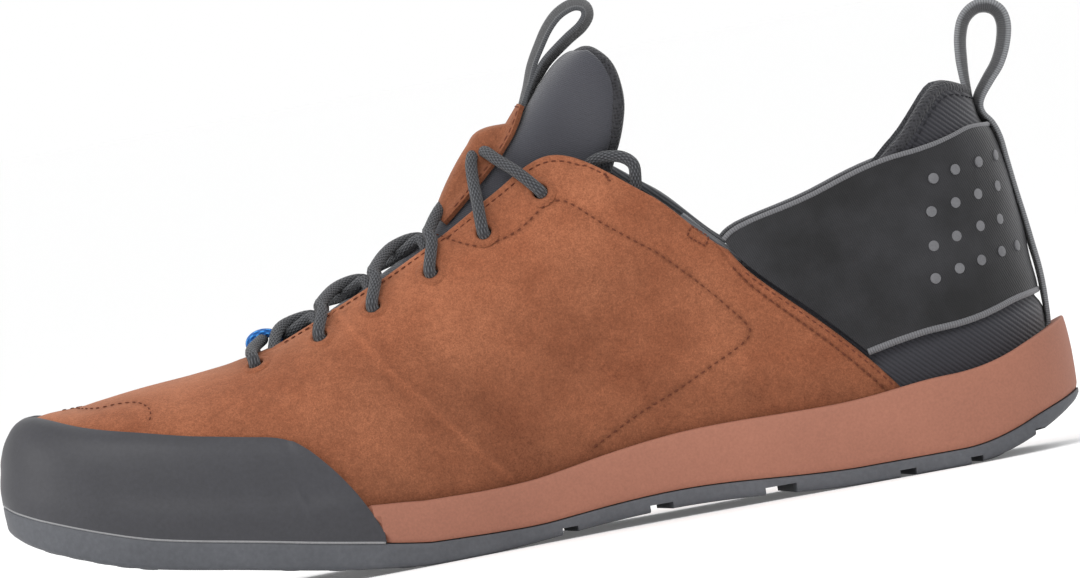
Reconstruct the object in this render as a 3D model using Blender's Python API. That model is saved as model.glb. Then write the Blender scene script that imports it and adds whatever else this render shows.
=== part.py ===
"""Approach shoe for the right foot, size 42, standing empty on its sole.

Metres, +Z up, toe towards -X, inner (medial) side towards -Y.
Every curved piece is read from one last: form_at() gives a point of the outer skin of the upper from a place
round the sole outline and an angle up the section, and each piece lies at its own lift from that skin.
"""

import math

import bmesh
import bpy
import numpy as np
from mathutils import Matrix, Vector
from mathutils.bvhtree import BVHTree

MM = 0.001
MEDIAL, LATERAL = -1, 1

# Driving dimensions
LENGTH = 292 * MM
BALL_WIDTH = 102 * MM
WAIST_WIDTH = 70 * MM
HEEL_WIDTH = 73 * MM
TOE_SPRING = 28.5 * MM
HEEL_BEVEL = 12 * MM
ARCH_RISE = 2.8 * MM
INSTEP_RISE = 95 * MM

# Sole
OUTSOLE_THICKNESS = 8 * MM
MIDSOLE_THICKNESS = 20.4 * MM
HEEL_FLAT = (0.116, 0.212)
BALL_FLAT = (0.565, 0.615)
HEEL_ROUND = 38 * MM
TOE_OFFSET = 13 * MM
MEDIAL_TOE_START = 0.80
LATERAL_TOE_START = 0.70
HEEL_POWER, MEDIAL_TOE_POWER, LATERAL_TOE_POWER = 2.2, 2.3, 2.0
SOLE_EDGE_ROUND = 1 * MM
CUP_DEPTH = 6 * MM
CUP_WALL = 1.6 * MM
RAND_BACK = 0.655
GAP = 0.3 * MM
MIDSOLE_DRAFT = 0.6 * MM
GROOVE_DEPTH = 2 * MM

# Upper
WALL = 2.4 * MM
COUNTER_STEP = 2.0 * MM
COUNTER_WALL = 2.6 * MM
HEEL_SETBACK = 5.2 * MM
THROAT_FRONT = 0.758
EYELET_RADIUS = 2.2 * MM
EYELET_PLACES = (0.745, 0.682, 0.629, 0.571, 0.516, 0.458)
EYELET_BELOW_EDGE = 9.5 * MM

# Rubber rand
RAND_THICKNESS = 1.8 * MM
RAND_EDGE = 1.1 * MM

# Heel band, webbing and cord
BAND_THICKNESS = 1.25 * MM
BAND_TRIM = 0.5 * MM
BAND_TRIM_WIDTH = 1.6 * MM
WEBBING_WIDTH = 10 * MM
WEBBING_THICKNESS = 1.3 * MM
LACE_RADIUS = 1.65 * MM
ANCHOR_RADIUS = 1.4 * MM

# Tongue and insole
TONGUE_THICKNESS = 4.5 * MM
TONGUE_RISE = 39.5 * MM
TONGUE_ROOT = 0.56
TONGUE_TOP = 0.402
LACE_TUCK = 0.392
TONGUE_WIDTH = 46 * MM
OVERLAY_WIDTH = 21 * MM
OVERLAY_THICKNESS = 1.3 * MM
KEEPER_RISE = 4.6 * MM
TONGUE_UNDER = 1.3 * MM
LACE_CLEAR = 1.2 * MM
INSOLE_THICKNESS = 3 * MM

# Steps of the meshes
RAND_ROWS = 9
TONGUE_COUNT = 12
OVERLAY_STEPS = 10
HEEL_STEPS, SIDE_STEPS, TOE_STEPS = 7, 11, 12
RAND_COLUMNS_AT = (-1.5, 0, 2, 4, 6, 8, 11, 16)
WALL_ROWS = 12
CORD_SIDES = 8

# Width of the sole each side of its axis, as a share of the size named in the row
OUTLINE_COLUMNS = ("station", "size", "medial", "lateral")
OUTLINE = (
    (0.00, HEEL_WIDTH, 0.480, 0.480),
    (0.07, HEEL_WIDTH, 0.494, 0.494),
    (0.15, HEEL_WIDTH, 0.500, 0.500),
    (0.27, HEEL_WIDTH, 0.459, 0.507),
    (0.39, WAIST_WIDTH, 0.436, 0.556),
    (0.51, WAIST_WIDTH, 0.515, 0.635),
    (0.63, BALL_WIDTH, 0.455, 0.490),
    (0.70, BALL_WIDTH, 0.490, 0.510),
    (0.79, BALL_WIDTH, 0.496, 0.505),
    (0.86, BALL_WIDTH, 0.490, 0.500),
    (1.00, BALL_WIDTH, 0.480, 0.490),
)

# Layers of the shoe from the sole's bottom up: outsole and midsole as shares of their thickness, the form's rise
# above the midsole's rim as a share of INSTEP_RISE, edge as a share of the form, crown (half width left at the
# top) as a share of HEEL_WIDTH, bulge in shares of BALL_WIDTH, and square, the power that makes a section round
# (1) or boxy (less)
LAYER_COLUMNS = ("station", "outsole", "midsole", "form", "edge", "crown", "bulge", "square")
LAYERS = (
    (0.000, 0.30, 1.000, 0.788, 0.880, 0.315, 0.010, 1.00),
    (0.050, 0.57, 0.970, 0.878, 0.912, 0.315, 0.012, 1.00),
    (0.120, 0.56, 1.000, 0.912, 0.775, 0.315, 0.014, 1.00),
    (0.200, 0.57, 0.900, 0.935, 0.600, 0.285, 0.016, 1.00),
    (0.280, 0.55, 0.840, 0.936, 0.525, 0.225, 0.020, 1.00),
    (0.360, 0.57, 0.765, 0.952, 0.727, 0.115, 0.024, 1.00),
    (0.440, 0.54, 0.680, 0.955, 0.905, 0.030, 0.025, 1.00),
    (0.500, 0.52, 0.615, 0.874, 0.935, 0.000, 0.024, 1.00),
    (0.560, 0.66, 0.575, 0.768, 0.943, 0.000, 0.022, 1.00),
    (0.620, 0.765, 0.560, 0.663, 0.952, 0.000, 0.020, 0.98),
    (0.680, 0.89, 0.490, 0.560, 0.960, 0.000, 0.018, 0.94),
    (0.740, 0.94, 0.440, 0.453, 0.982, 0.000, 0.017, 0.88),
    (0.758, 0.95, 0.430, 0.426, 1.000, 0.000, 0.017, 0.86),
    (0.800, 0.955, 0.410, 0.388, 1.000, 0.000, 0.016, 0.82),
    (0.860, 1.00, 0.395, 0.339, 1.000, 0.000, 0.015, 0.76),
    (0.910, 1.08, 0.360, 0.281, 1.000, 0.000, 0.014, 0.73),
    (0.950, 1.07, 0.335, 0.236, 1.000, 0.000, 0.012, 0.72),
    (0.970, 1.04, 0.325, 0.192, 1.000, 0.000, 0.008, 0.72),
    (0.980, 1.02, 0.320, 0.140, 1.000, 0.000, 0.004, 0.72),
    (0.990, 0.97, 0.310, 0.058, 1.000, 0.000, 0.000, 0.72),
    (1.000, 0.95, 0.300, 0.038, 1.000, 0.000, 0.000, 0.72),
)

# Grooves across the tread: station, width, and how far they lean back towards the sides
GROOVE_COLUMNS = ("station", "width", "slant")
GROOVES = (
    (0.052, 4 * MM, 0.10),
    (0.118, 4 * MM, 0.10),
    (0.185, 5 * MM, 0.12),
    (0.305, 9 * MM, 0.15),
    (0.415, 7 * MM, 0.15),
    (0.500, 5 * MM, 0.12),
    (0.680, 4 * MM, 0.12),
    (0.740, 4 * MM, 0.12),
    (0.800, 4 * MM, 0.12),
    (0.860, 4 * MM, 0.12),
)

# Rise of the sole's bottom in front of the ball, as shares of the toe's run and of TOE_SPRING
TOE_RISE_COLUMNS = ("run", "rise")
TOE_RISE = (
    (0.0, 0.0), (0.10, 0.045), (0.22, 0.115), (0.45, 0.285), (0.70, 0.480), (0.85, 0.680), (0.95, 0.860), (1.0, 1.0),
)

# How far the back of the heel leans forward with height, as shares of INSTEP_RISE and of HEEL_WIDTH
HEEL_LEAN_COLUMNS = ("height", "lean")
HEEL_LEAN = (
    (0.30, 0.0), (0.45, 0.004), (0.53, 0.012), (0.626, 0.022), (0.70, 0.031), (0.80, 0.044), (0.90, 0.066),
    (0.94, 0.082), (0.968, 0.098), (1.03, 0.112), (1.09, 0.138), (1.15, 0.165),
)
LEAN_REACH = 0.24

# Columns of the upper's wall lean towards the toe behind the instep: foot and head of each, as shares of LENGTH
RIB_COLUMNS = ("foot", "head")
RIBS = (
    (0.0, 0.0), (0.03, 0.035), (0.065, 0.095), (0.105, 0.180), (0.152, 0.298), (0.24, 0.355), (0.34, 0.418),
    (0.45, 0.478), (0.56, 0.565), (0.68, 0.682), (1.0, 1.0),
)
COUNTER_FOOT = 0.152

# Top edge of the rubber rand: station, and height between outsole and the form's top
RAND_COLUMNS = ("station", "height")
RAND_TOP = (
    (0.655, 0.03), (0.667, 0.150), (0.682, 0.262), (0.697, 0.360), (0.713, 0.450), (0.730, 0.520), (0.748, 0.560),
    (0.766, 0.585), (0.784, 0.606), (0.820, 0.650), (0.855, 0.705), (0.891, 0.775), (0.927, 0.870), (0.945, 0.935),
    (0.957, 0.985), (0.966, 1.0), (1.0, 1.0),
)
RAND_FULL = 0.966
RAND_TURN = 0.725

# Edges of the heel band, as shares of the form's height at each station of the last
BAND_COLUMNS = ("station", "bottom", "top")
BAND = (
    (0.0, 0.185, 0.73), (0.06, 0.205, 0.72), (0.12, 0.205, 0.705), (0.19, 0.185, 0.66), (0.25, 0.20, 0.61),
    (0.298, 0.22, 0.555),
)
BAND_FRONT_FOOT = 0.1475

# Station and half width, as a share of TONGUE_WIDTH, of the tongue's arches under the laces
TONGUE_FOOT = ((0.80, 0.26), (0.765, 0.28), (0.73, 0.30), (0.69, 0.31), (0.65, 0.33), (0.61, 0.34), (0.575, 0.35))

# Crest of the tongue above TONGUE_ROOT: rise as a share of TONGUE_RISE, distance in front of the tongue's top as a
# share of LENGTH, half width and depth of the arch as shares of TONGUE_WIDTH, and the angle it falls away at
TONGUE_COLUMNS = ("rise", "forward", "half", "depth", "tilt")
TONGUE = (
    (0.36, 0.0960, 0.340, 0.600, 58.0),
    (0.504, 0.0753, 0.360, 0.600, 66.0),
    (0.67, 0.0558, 0.390, 0.550, 74.0),
    (0.797, 0.0410, 0.410, 0.460, 78.0),
    (0.913, 0.0257, 0.440, 0.330, 80.0),
    (0.98, 0.0120, 0.410, 0.190, 80.0),
    (1.00, 0.0, 0.360, 0.060, 80.0),
)


for old in list(bpy.data.objects):
    bpy.data.objects.remove(old, do_unlink=True)
SHOE = bpy.data.objects.new("shoe", None)


def curve_through(rows, key, value):
    """A smooth curve through the rows' points that never overshoots them."""
    xs = np.array([row[key] for row in rows], float)
    ys = np.array([row[value] for row in rows], float)
    steps = np.diff(xs)
    slopes = np.diff(ys) / steps
    tangents = np.zeros(len(xs))
    for i in range(1, len(xs) - 1):
        before, after = slopes[i - 1], slopes[i]
        if before * after > 0:
            w1, w2 = 2 * steps[i] + steps[i - 1], steps[i] + 2 * steps[i - 1]
            tangents[i] = (w1 + w2) / (w1 / before + w2 / after)
    tangents[0], tangents[-1] = slopes[0], slopes[-1]

    def at(x):
        x = min(max(x, xs[0]), xs[-1])
        i = min(int(np.searchsorted(xs, x, side="right")) - 1, len(xs) - 2)
        t = (x - xs[i]) / steps[i]
        return (
            (1 + 2 * t) * (1 - t) ** 2 * ys[i]
            + t * (1 - t) ** 2 * steps[i] * tangents[i]
            + t * t * (3 - 2 * t) * ys[i + 1]
            + t * t * (t - 1) * steps[i] * tangents[i + 1]
        )

    return at


def layer(name):
    return curve_through(LAYERS, 0, LAYER_COLUMNS.index(name))


outsole_share, midsole_share, form_share = layer("outsole"), layer("midsole"), layer("form")
edge_share, crown_share, bulge_share, square_power = layer("edge"), layer("crown"), layer("bulge"), layer("square")
outline_half = {
    side: curve_through([(row[0], row[1] * row[2 + (side == LATERAL)]) for row in OUTLINE], 0, 1)
    for side in (MEDIAL, LATERAL)
}
toe_rise = curve_through(TOE_RISE, 0, 1)
heel_lean = curve_through(HEEL_LEAN, 0, 1)
rib_head = curve_through(RIBS, 0, 1)
rand_height = curve_through(RAND_TOP, 0, 1)
band_bottom, band_top = curve_through(BAND, 0, 1), curve_through(BAND, 0, 2)


def world(x, y, z):
    """A point from its distance in front of the heel, its place across and its height."""
    return Vector((LENGTH / 2 - x, y, z))


def sole_bottom(x):
    """Height of the tread: bevelled at the heel, flat under heel and ball, arched between, sprung at the toe."""
    u = x / LENGTH
    if u < HEEL_FLAT[0]:
        return HEEL_BEVEL * (1 - u / HEEL_FLAT[0]) ** 1.8
    if u <= HEEL_FLAT[1]:
        return 0.0
    if u < BALL_FLAT[0]:
        return ARCH_RISE * math.sin(math.pi * (u - HEEL_FLAT[1]) / (BALL_FLAT[0] - HEEL_FLAT[1])) ** 1.5
    if u <= BALL_FLAT[1]:
        return 0.0
    return TOE_SPRING * toe_rise((u - BALL_FLAT[1]) / (1 - BALL_FLAT[1]))


def outsole_top(x):
    return sole_bottom(x) + OUTSOLE_THICKNESS * outsole_share(x / LENGTH)


def feather(x):
    """Height of the line where the upper leaves the midsole's rim."""
    return outsole_top(x) + MIDSOLE_THICKNESS * midsole_share(x / LENGTH)


def cup_depth(x):
    """Depth of the cup that the upper stands in, less at the toe where the midsole is thin."""
    return CUP_DEPTH * (1 - 0.55 * min(1.0, max(0.0, (x / LENGTH - 0.6) / 0.3)))


def form_base(x):
    return feather(x) - cup_depth(x)


def form_height(x):
    return cup_depth(x) + INSTEP_RISE * form_share(x / LENGTH)


def ridge_y(x):
    """The last's ridge leans to the inner side in front of the instep and ends over the toe's tip."""
    share = max(0.0, (x / LENGTH - 0.42) / 0.58)
    return -TOE_OFFSET * share**1.3


def edge_y(x, side, inset=0.0, heel_inset=None):
    """Place across of the sole's outline at x, drawn in by inset."""
    start = MEDIAL_TOE_START if side == MEDIAL else LATERAL_TOE_START
    power = MEDIAL_TOE_POWER if side == MEDIAL else LATERAL_TOE_POWER
    y = side * (outline_half[side](x / LENGTH) - inset)
    run = (x - start * LENGTH) / (LENGTH - inset - start * LENGTH)
    if run > 0:
        y = -TOE_OFFSET + (y + TOE_OFFSET) * max(0.0, 1 - min(run, 1.0) ** power) ** (1 / power)
    run = 1 - (x - (inset if heel_inset is None else heel_inset)) / HEEL_ROUND
    if run > 0:
        y *= max(0.0, 1 - min(run, 1.0) ** HEEL_POWER) ** (1 / HEEL_POWER)
    return y


def place_x(place, inset, heel_inset):
    """Distance from the heel of a place round the outline: 0 heel, 1 to 2 side, 3 toe."""
    toe_start = LATERAL_TOE_START * LENGTH
    side_start = heel_inset + HEEL_ROUND
    if place <= 1:
        return heel_inset + HEEL_ROUND * (1 - math.cos(math.radians(90 * place)))
    if place <= 2:
        return side_start + (toe_start - side_start) * (place - 1)
    return toe_start + (LENGTH - inset - toe_start) * math.sin(math.radians(90 * (place - 2)))


def x_place(x, inset, heel_inset):
    """The place round the outline that lies x in front of the heel."""
    toe_start = LATERAL_TOE_START * LENGTH
    side_start = heel_inset + HEEL_ROUND
    if x <= side_start:
        return math.degrees(math.acos(max(-1.0, min(1.0, 1 - (x - heel_inset) / HEEL_ROUND)))) / 90
    if x <= toe_start:
        return 1 + (x - side_start) / (toe_start - side_start)
    return 2 + math.degrees(math.asin(min(1.0, (x - toe_start) / (LENGTH - inset - toe_start)))) / 90


def places():
    """Places of the mesh's columns along one side, heel to toe."""
    heel = [i / HEEL_STEPS for i in range(HEEL_STEPS)]
    side = [1 + i / SIDE_STEPS for i in range(SIDE_STEPS)]
    side += [x_place(RAND_BACK * LENGTH + step * MM, 0, 0) for step in RAND_COLUMNS_AT]
    side.sort()
    toe = [2 + i / TOE_STEPS for i in range(TOE_STEPS + 1)]
    return heel + side + toe


def sole_places():
    """Places of the sole's columns: those of the upper, and one at each end of the flats under heel and ball."""
    inset = 2.5 * SOLE_EDGE_ROUND
    return sorted(places() + [x_place(u * LENGTH, inset, inset) for u in HEEL_FLAT + BALL_FLAT])


FORM_INSET = RAND_THICKNESS + 2 * GAP + CUP_WALL


def leaned(x, z):
    """x after the back of the heel has leaned forward."""
    reach = max(0.0, 1 - x / (LEAN_REACH * LENGTH))
    return x + HEEL_WIDTH * heel_lean(z / INSTEP_RISE) * reach**2


def form_at(place, angle):
    """The last's skin. place runs round the outline, negative on the inner side; angle climbs from 0 at the sole
    to 90 on the ridge, and on over it down the other side."""
    if angle > 90:
        place, angle = -place, 180 - angle
    if abs(place) > 3:
        place = math.copysign(6 - abs(place), -place)
    side = MEDIAL if place < 0 else LATERAL
    x = place_x(abs(place), FORM_INSET, HEEL_SETBACK)
    u = x / LENGTH
    power = square_power(u)
    up = math.sin(math.radians(max(angle, 0.0)))
    out = max(0.0, math.cos(math.radians(angle)))
    z = form_base(x) + form_height(x) * up**power
    foot = edge_y(x, side, FORM_INSET, HEEL_SETBACK)
    half = abs(foot - ridge_y(x))
    full = max(outline_half[side](u) - FORM_INSET, MM)
    fullness = min(1.0, half / full)
    crown = side * HEEL_WIDTH * crown_share(u) * fullness
    y = ridge_y(x) + crown + (foot - ridge_y(x) - crown) * out**power
    y += side * BALL_WIDTH * bulge_share(u) * fullness * 2 * up * out
    return world(leaned(x, z), y, z)


def form_normal(place, angle):
    low, high = max(angle - 0.5, 0.0), max(angle - 0.5, 0.0) + 1.0
    along = form_at(place + 0.01, angle) - form_at(place - 0.01, angle)
    up = form_at(place, high) - form_at(place, low)
    normal = along.cross(up).normalized()
    point = form_at(place, angle)
    x = min(max(LENGTH / 2 - point.x, 0.12 * LENGTH), 0.88 * LENGTH)
    core = world(x, ridge_y(x), form_base(x) + 0.3 * form_height(x))
    return normal if normal.dot(point - core) > 0 else -normal


def on_form(place, angle, lift):
    return form_at(place, angle) + form_normal(place, angle) * lift


def angle_at(x, share):
    """Angle up the section where the skin has climbed a share of the form's height."""
    return math.degrees(math.asin(min(1.0, max(0.0, share)) ** (1 / square_power(x / LENGTH))))


def skin_point(x, share, side, lift):
    """A point of the skin from its distance from the heel and its share of the form's height."""
    return on_form(side * x_place(x, FORM_INSET, HEEL_SETBACK), angle_at(x, share), lift)


def material(name, colour, roughness, metallic=0.0):
    made = bpy.data.materials.new(name)
    made.use_nodes = True
    shader = made.node_tree.nodes["Principled BSDF"]
    shader.inputs["Base Color"].default_value = (*colour, 1.0)
    shader.inputs["Roughness"].default_value = roughness
    shader.inputs["Metallic"].default_value = metallic
    made.diffuse_color = (*colour, 1.0)
    return made


def add_object(name, vertices, faces, finish=None):
    """A mesh object with outward faces, shaded smooth up to 40 degrees, under the shoe's empty."""
    mesh = bpy.data.meshes.new(name)
    work = bmesh.new()
    points = [work.verts.new(v) for v in vertices]
    for face in faces:
        work.faces.new([points[i] for i in face])
    bmesh.ops.remove_doubles(work, verts=work.verts, dist=0.002 * MM)
    bmesh.ops.dissolve_degenerate(work, edges=work.edges, dist=0.002 * MM)
    bmesh.ops.recalc_face_normals(work, faces=work.faces)
    bmesh.ops.triangulate(work, faces=[f for f in work.faces if len(f.verts) > 4])
    work.to_mesh(mesh)
    work.free()
    mesh.shade_smooth()
    mesh.set_sharp_from_angle(angle=math.radians(40))
    made = bpy.data.objects.new(name, mesh)
    bpy.context.scene.collection.objects.link(made)
    made.parent = SHOE
    if finish:
        mesh.materials.append(finish)
    return made


def loft(name, sections, finish, closed=False):
    """A solid through closed sections of equal count. closed joins the last section to the first."""
    count = len(sections[0])
    vertices = [point for section in sections for point in section]
    faces = []
    for i in range(len(sections) if closed else len(sections) - 1):
        a, b = i * count, (i + 1) % len(sections) * count
        faces += [(a + j, a + (j + 1) % count, b + (j + 1) % count, b + j) for j in range(count)]
    if not closed:
        faces += [tuple(range(count)), tuple(range(len(vertices) - count, len(vertices)))]
    return add_object(name, vertices, faces, finish)


def ring(inset, height, heel_inset=None):
    """Points round the sole outline, drawn in by inset(x) and at height(x)."""
    toe_inset = inset(LENGTH)
    back = inset(0) if heel_inset is None else heel_inset
    rows = {}
    for side in (MEDIAL, LATERAL):
        rows[side] = []
        for place in sole_places():
            x = place_x(place, toe_inset, back)
            rows[side].append(world(x, edge_y(x, side, inset(x), back), height(x)))
    return rows[MEDIAL] + rows[LATERAL][-2:0:-1]


def stack(name, rings, finish):
    """A solid from rings of the outline, bottom ring first, closed by rungs across the first and the last."""
    count = len(rings[0])
    vertices = [point for one in rings for point in one]
    faces = []
    for i in range(len(rings) - 1):
        a, b = i * count, (i + 1) * count
        faces += [(a + j, a + (j + 1) % count, b + (j + 1) % count, b + j) for j in range(count)]
    half = count // 2
    for start in (0, len(vertices) - count):
        for j in range(half):
            near, far = [start + j, start + j + 1], [start + (count - j - 1) % count, start + (count - j) % count]
            faces.append(tuple(dict.fromkeys(near + far)))
    return add_object(name, vertices, faces, finish)


def cut(target, cutter):
    """Takes the cutter out of the target with an exact Boolean."""
    cutter.hide_render = True
    cutter.display_type = "WIRE"
    modifier = target.modifiers.new(cutter.name, "BOOLEAN")
    modifier.operation = "DIFFERENCE"
    modifier.solver = "EXACT"
    modifier.object = cutter


def prism_parts(outline, low, high):
    """Vertices and faces of an upright prism; outline holds (x from the heel, y) pairs."""
    count = len(outline)
    vertices = [world(x, y, low) for x, y in outline] + [world(x, y, high) for x, y in outline]
    faces = [(j, (j + 1) % count, (j + 1) % count + count, j + count) for j in range(count)]
    return vertices, faces + [tuple(range(count)), tuple(range(count, 2 * count))]


def joined(name, parts, finish=None):
    """One object from several lots of vertices and faces that don't touch."""
    vertices, faces = [], []
    for more, sides in parts:
        faces += [tuple(i + len(vertices) for i in side) for side in sides]
        vertices += more
    return add_object(name, vertices, faces, finish)


def make_outsole(finish):
    rings = [
        ring(lambda x: 2.5 * SOLE_EDGE_ROUND, sole_bottom),
        ring(lambda x: 0.3 * SOLE_EDGE_ROUND, lambda x: sole_bottom(x) + SOLE_EDGE_ROUND),
        ring(lambda x: 0.0, outsole_top),
    ]
    sole = stack("outsole", rings, finish)
    grooves = []
    for station, width, slant in GROOVES:
        x, half = station * LENGTH, width / 2
        top = sole_bottom(x) + GROOVE_DEPTH
        outline = []
        for y, sign in ((-HEEL_WIDTH, 1), (0, 1), (HEEL_WIDTH, 1), (HEEL_WIDTH, -1), (0, -1), (-HEEL_WIDTH, -1)):
            outline.append((x + sign * half - slant * abs(y), y))
        grooves.append(prism_parts(outline, -20 * MM, top))
    cut(sole, joined("tread_grooves", grooves))
    return sole


def toe_share(x):
    """Grows from 0 to 1 over the last fifth of the shoe, where everything climbs steeply."""
    return max(0.0, (x / LENGTH - 0.8) / 0.2)


def cup_floor(x):
    return form_base(x) - GAP * (1 + 2 * toe_share(x))


def under_rand(x):
    return x > RAND_BACK * LENGTH - 0.5 * MM


def rim_height(x):
    return feather(x) - (6 * GAP if under_rand(x) else 0.0)


def midsole_inset(x):
    return RAND_THICKNESS + 2 * GAP if under_rand(x) else 0.0


def midsole_top_inset(x):
    return midsole_inset(x) + (0.0 if under_rand(x) else MIDSOLE_DRAFT)


def make_midsole(finish):
    cup = FORM_INSET - GAP
    heel = HEEL_SETBACK - GAP
    rings = [
        ring(midsole_inset, lambda x: outsole_top(x) + GAP * (1 + 2 * toe_share(x))),
        ring(midsole_top_inset, lambda x: rim_height(x) - 0.8 * MM),
        ring(lambda x: midsole_top_inset(x) + (0.15 if under_rand(x) else 0.3) * MM, rim_height),
        ring(lambda x: cup - 1.5 * GAP - 0.4 * MM * toe_share(x), rim_height, heel - GAP),
        ring(lambda x: cup - 0.4 * MM * toe_share(x), cup_floor, heel),
    ]
    return stack("midsole", rings, finish)


def make_insole(finish):
    side = FORM_INSET + COUNTER_STEP + COUNTER_WALL + GAP
    heel = HEEL_SETBACK + COUNTER_STEP + COUNTER_WALL + GAP
    low = [ring(lambda x: side, lambda x: form_base(x) + GAP, heel)]
    low.append(ring(lambda x: side, lambda x: form_base(x) + GAP + INSOLE_THICKNESS, heel))
    return stack("insole", low, finish)


def is_open(x):
    return x < THROAT_FRONT * LENGTH


def top_angle(x):
    return angle_at(x, edge_share(x / LENGTH)) if is_open(x) else 90.0


def head_x(foot):
    """Where the rib that starts at foot ends; the rib up the middle of the heel stands upright."""
    lean = rib_head(foot / LENGTH) * LENGTH - foot
    return foot + lean * min(1.0, (foot - HEEL_SETBACK) / (0.05 * LENGTH))


def rib_point(side, foot, part, lift):
    """A point of the upper's wall: foot is where its rib starts, part climbs it from 0 to 1."""
    head = head_x(foot)
    x = foot + (head - foot) * part
    x = max(x, HEEL_SETBACK)
    return on_form(side * x_place(x, FORM_INSET, HEEL_SETBACK), top_angle(x) * part, lift)


def upper_feet():
    """Feet of the upper's ribs and how deep each lies under the suede's level."""
    feet = [place_x(place, FORM_INSET, HEEL_SETBACK) for place in places()]
    step = COUNTER_FOOT * LENGTH
    throat = THROAT_FRONT * LENGTH
    feet = [x for x in feet if abs(x - step) > 3 * MM and abs(x - throat) > 3 * MM]
    more = [(step - 0.5 * MM, 1.0), (step, 0.0), (throat, 0.0)]
    return sorted([(x, 1.0 if x < step else 0.0) for x in feet] + more)


def make_upper(finish):
    rows = WALL_ROWS
    ribs = upper_feet()
    vertices, faces = [], []
    index = {}
    for side in (MEDIAL, LATERAL):
        for j, (foot, sunk) in enumerate(ribs):
            for i in range(rows + 1):
                part = i / rows
                outer = -COUNTER_STEP * sunk
                behind = min(1.0, max(0.0, (COUNTER_FOOT * LENGTH + 24 * MM - foot) / (24 * MM)))
                inner = -WALL - (COUNTER_STEP + COUNTER_WALL - WALL) * behind
                index[side, j, i, 0] = len(vertices)
                vertices.append(rib_point(side, foot, part, outer))
                index[side, j, i, 1] = len(vertices)
                vertices.append(rib_point(side, foot, part, inner))
    for side in (MEDIAL, LATERAL):
        for j in range(len(ribs) - 1):
            for skin in (0, 1):
                for i in range(rows):
                    faces.append([index[side, j + a, i + b, skin] for a, b in ((0, 0), (1, 0), (1, 1), (0, 1))])
            faces.append([index[side, j + a, 0, skin] for a, skin in ((0, 0), (1, 0), (1, 1), (0, 1))])
            if is_open(ribs[j][0] + MM * 0.1):
                faces.append([index[side, j + a, rows, skin] for a, skin in ((0, 0), (1, 0), (1, 1), (0, 1))])
    upper = add_object("upper", vertices, faces, finish)
    holes = []
    for side in (MEDIAL, LATERAL):
        for station in EYELET_PLACES:
            axis = [eyelet(side, station, lift) for lift in (-8 * MM, 6 * MM)]
            holes.append(tube_parts(axis, EYELET_RADIUS, 12))
    cut(upper, joined("eyelet_holes", holes))
    return upper


def eyelet(side, station, lift):
    """A point on the axis of an eyelet, the same way along the skin below the throat's edge for each."""
    x = station * LENGTH
    place = side * x_place(x, FORM_INSET, HEEL_SETBACK)
    angle = top_angle(x)
    point = form_at(place, angle)
    while (form_at(place, angle) - point).length < EYELET_BELOW_EDGE:
        angle -= 0.25
    return on_form(place, angle, lift)


def tube_parts(path, radius, sides=CORD_SIDES, closed=False):
    """Vertices and faces of a round tube along a path."""
    vertices, faces = [], []
    count = len(path)
    across = None
    for i, point in enumerate(path):
        if closed:
            ahead = (path[(i + 1) % count] - path[i - 1]).normalized()
        else:
            ahead = (path[min(i + 1, count - 1)] - path[max(i - 1, 0)]).normalized()
        if across is None:
            across = ahead.cross(Vector((0.3, 0.9, 0.2))).normalized()
        across = (across - ahead * across.dot(ahead)).normalized()
        other = ahead.cross(across)
        for k in range(sides):
            turn = 2 * math.pi * k / sides
            vertices.append(point + (across * math.cos(turn) + other * math.sin(turn)) * radius)
    for i in range(count if closed else count - 1):
        a, b = i * sides, (i + 1) % count * sides
        faces += [(a + k, a + (k + 1) % sides, b + (k + 1) % sides, b + k) for k in range(sides)]
    if not closed:
        faces += [tuple(range(sides)), tuple(range((count - 1) * sides, count * sides))]
    return vertices, faces


def smooth_path(points, steps=4):
    """Points of a smooth curve through the given ones."""
    ends = [points[0] * 2 - points[1]] + list(points) + [points[-1] * 2 - points[-2]]
    path = []
    for i in range(1, len(ends) - 2):
        a, b, c, d = ends[i - 1 : i + 3]
        for j in range(steps):
            t = j / steps
            bend, twist = 2 * a - 5 * b + 4 * c - d, 3 * b - a - 3 * c + d
            path.append(0.5 * (2 * b + (c - a) * t + bend * t * t + twist * t**3))
    return path + [points[-1]]


def sheet_solid(name, outer, inner, finish):
    """A sheet with a thickness: grids of outer and inner points, rows by columns, joined round the rim."""
    rows, columns = len(outer), len(outer[0])
    vertices = [p for row in outer for p in row] + [p for row in inner for p in row]
    shift = rows * columns
    faces = []
    for i in range(rows - 1):
        for j in range(columns - 1):
            quad = (i * columns + j, i * columns + j + 1, (i + 1) * columns + j + 1, (i + 1) * columns + j)
            faces += [quad, tuple(shift + k for k in quad)]
    rim = [j for j in range(columns)] + [i * columns + columns - 1 for i in range(1, rows)]
    rim += [(rows - 1) * columns + j for j in range(columns - 2, -1, -1)]
    rim += [i * columns for i in range(rows - 2, 0, -1)]
    for a, b in zip(rim, rim[1:] + rim[:1]):
        faces.append((a, b, b + shift, a + shift))
    return add_object(name, vertices, faces, finish)


def rand_top(x):
    low = outsole_top(x)
    return low + rand_height(x / LENGTH) * (form_base(x) + form_height(x) - low)


def rand_wall(x, side, z, outer):
    """A point of the rand beside the midsole."""
    return world(x, edge_y(x, side, 0.0 if outer else RAND_THICKNESS, None), z)


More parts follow.
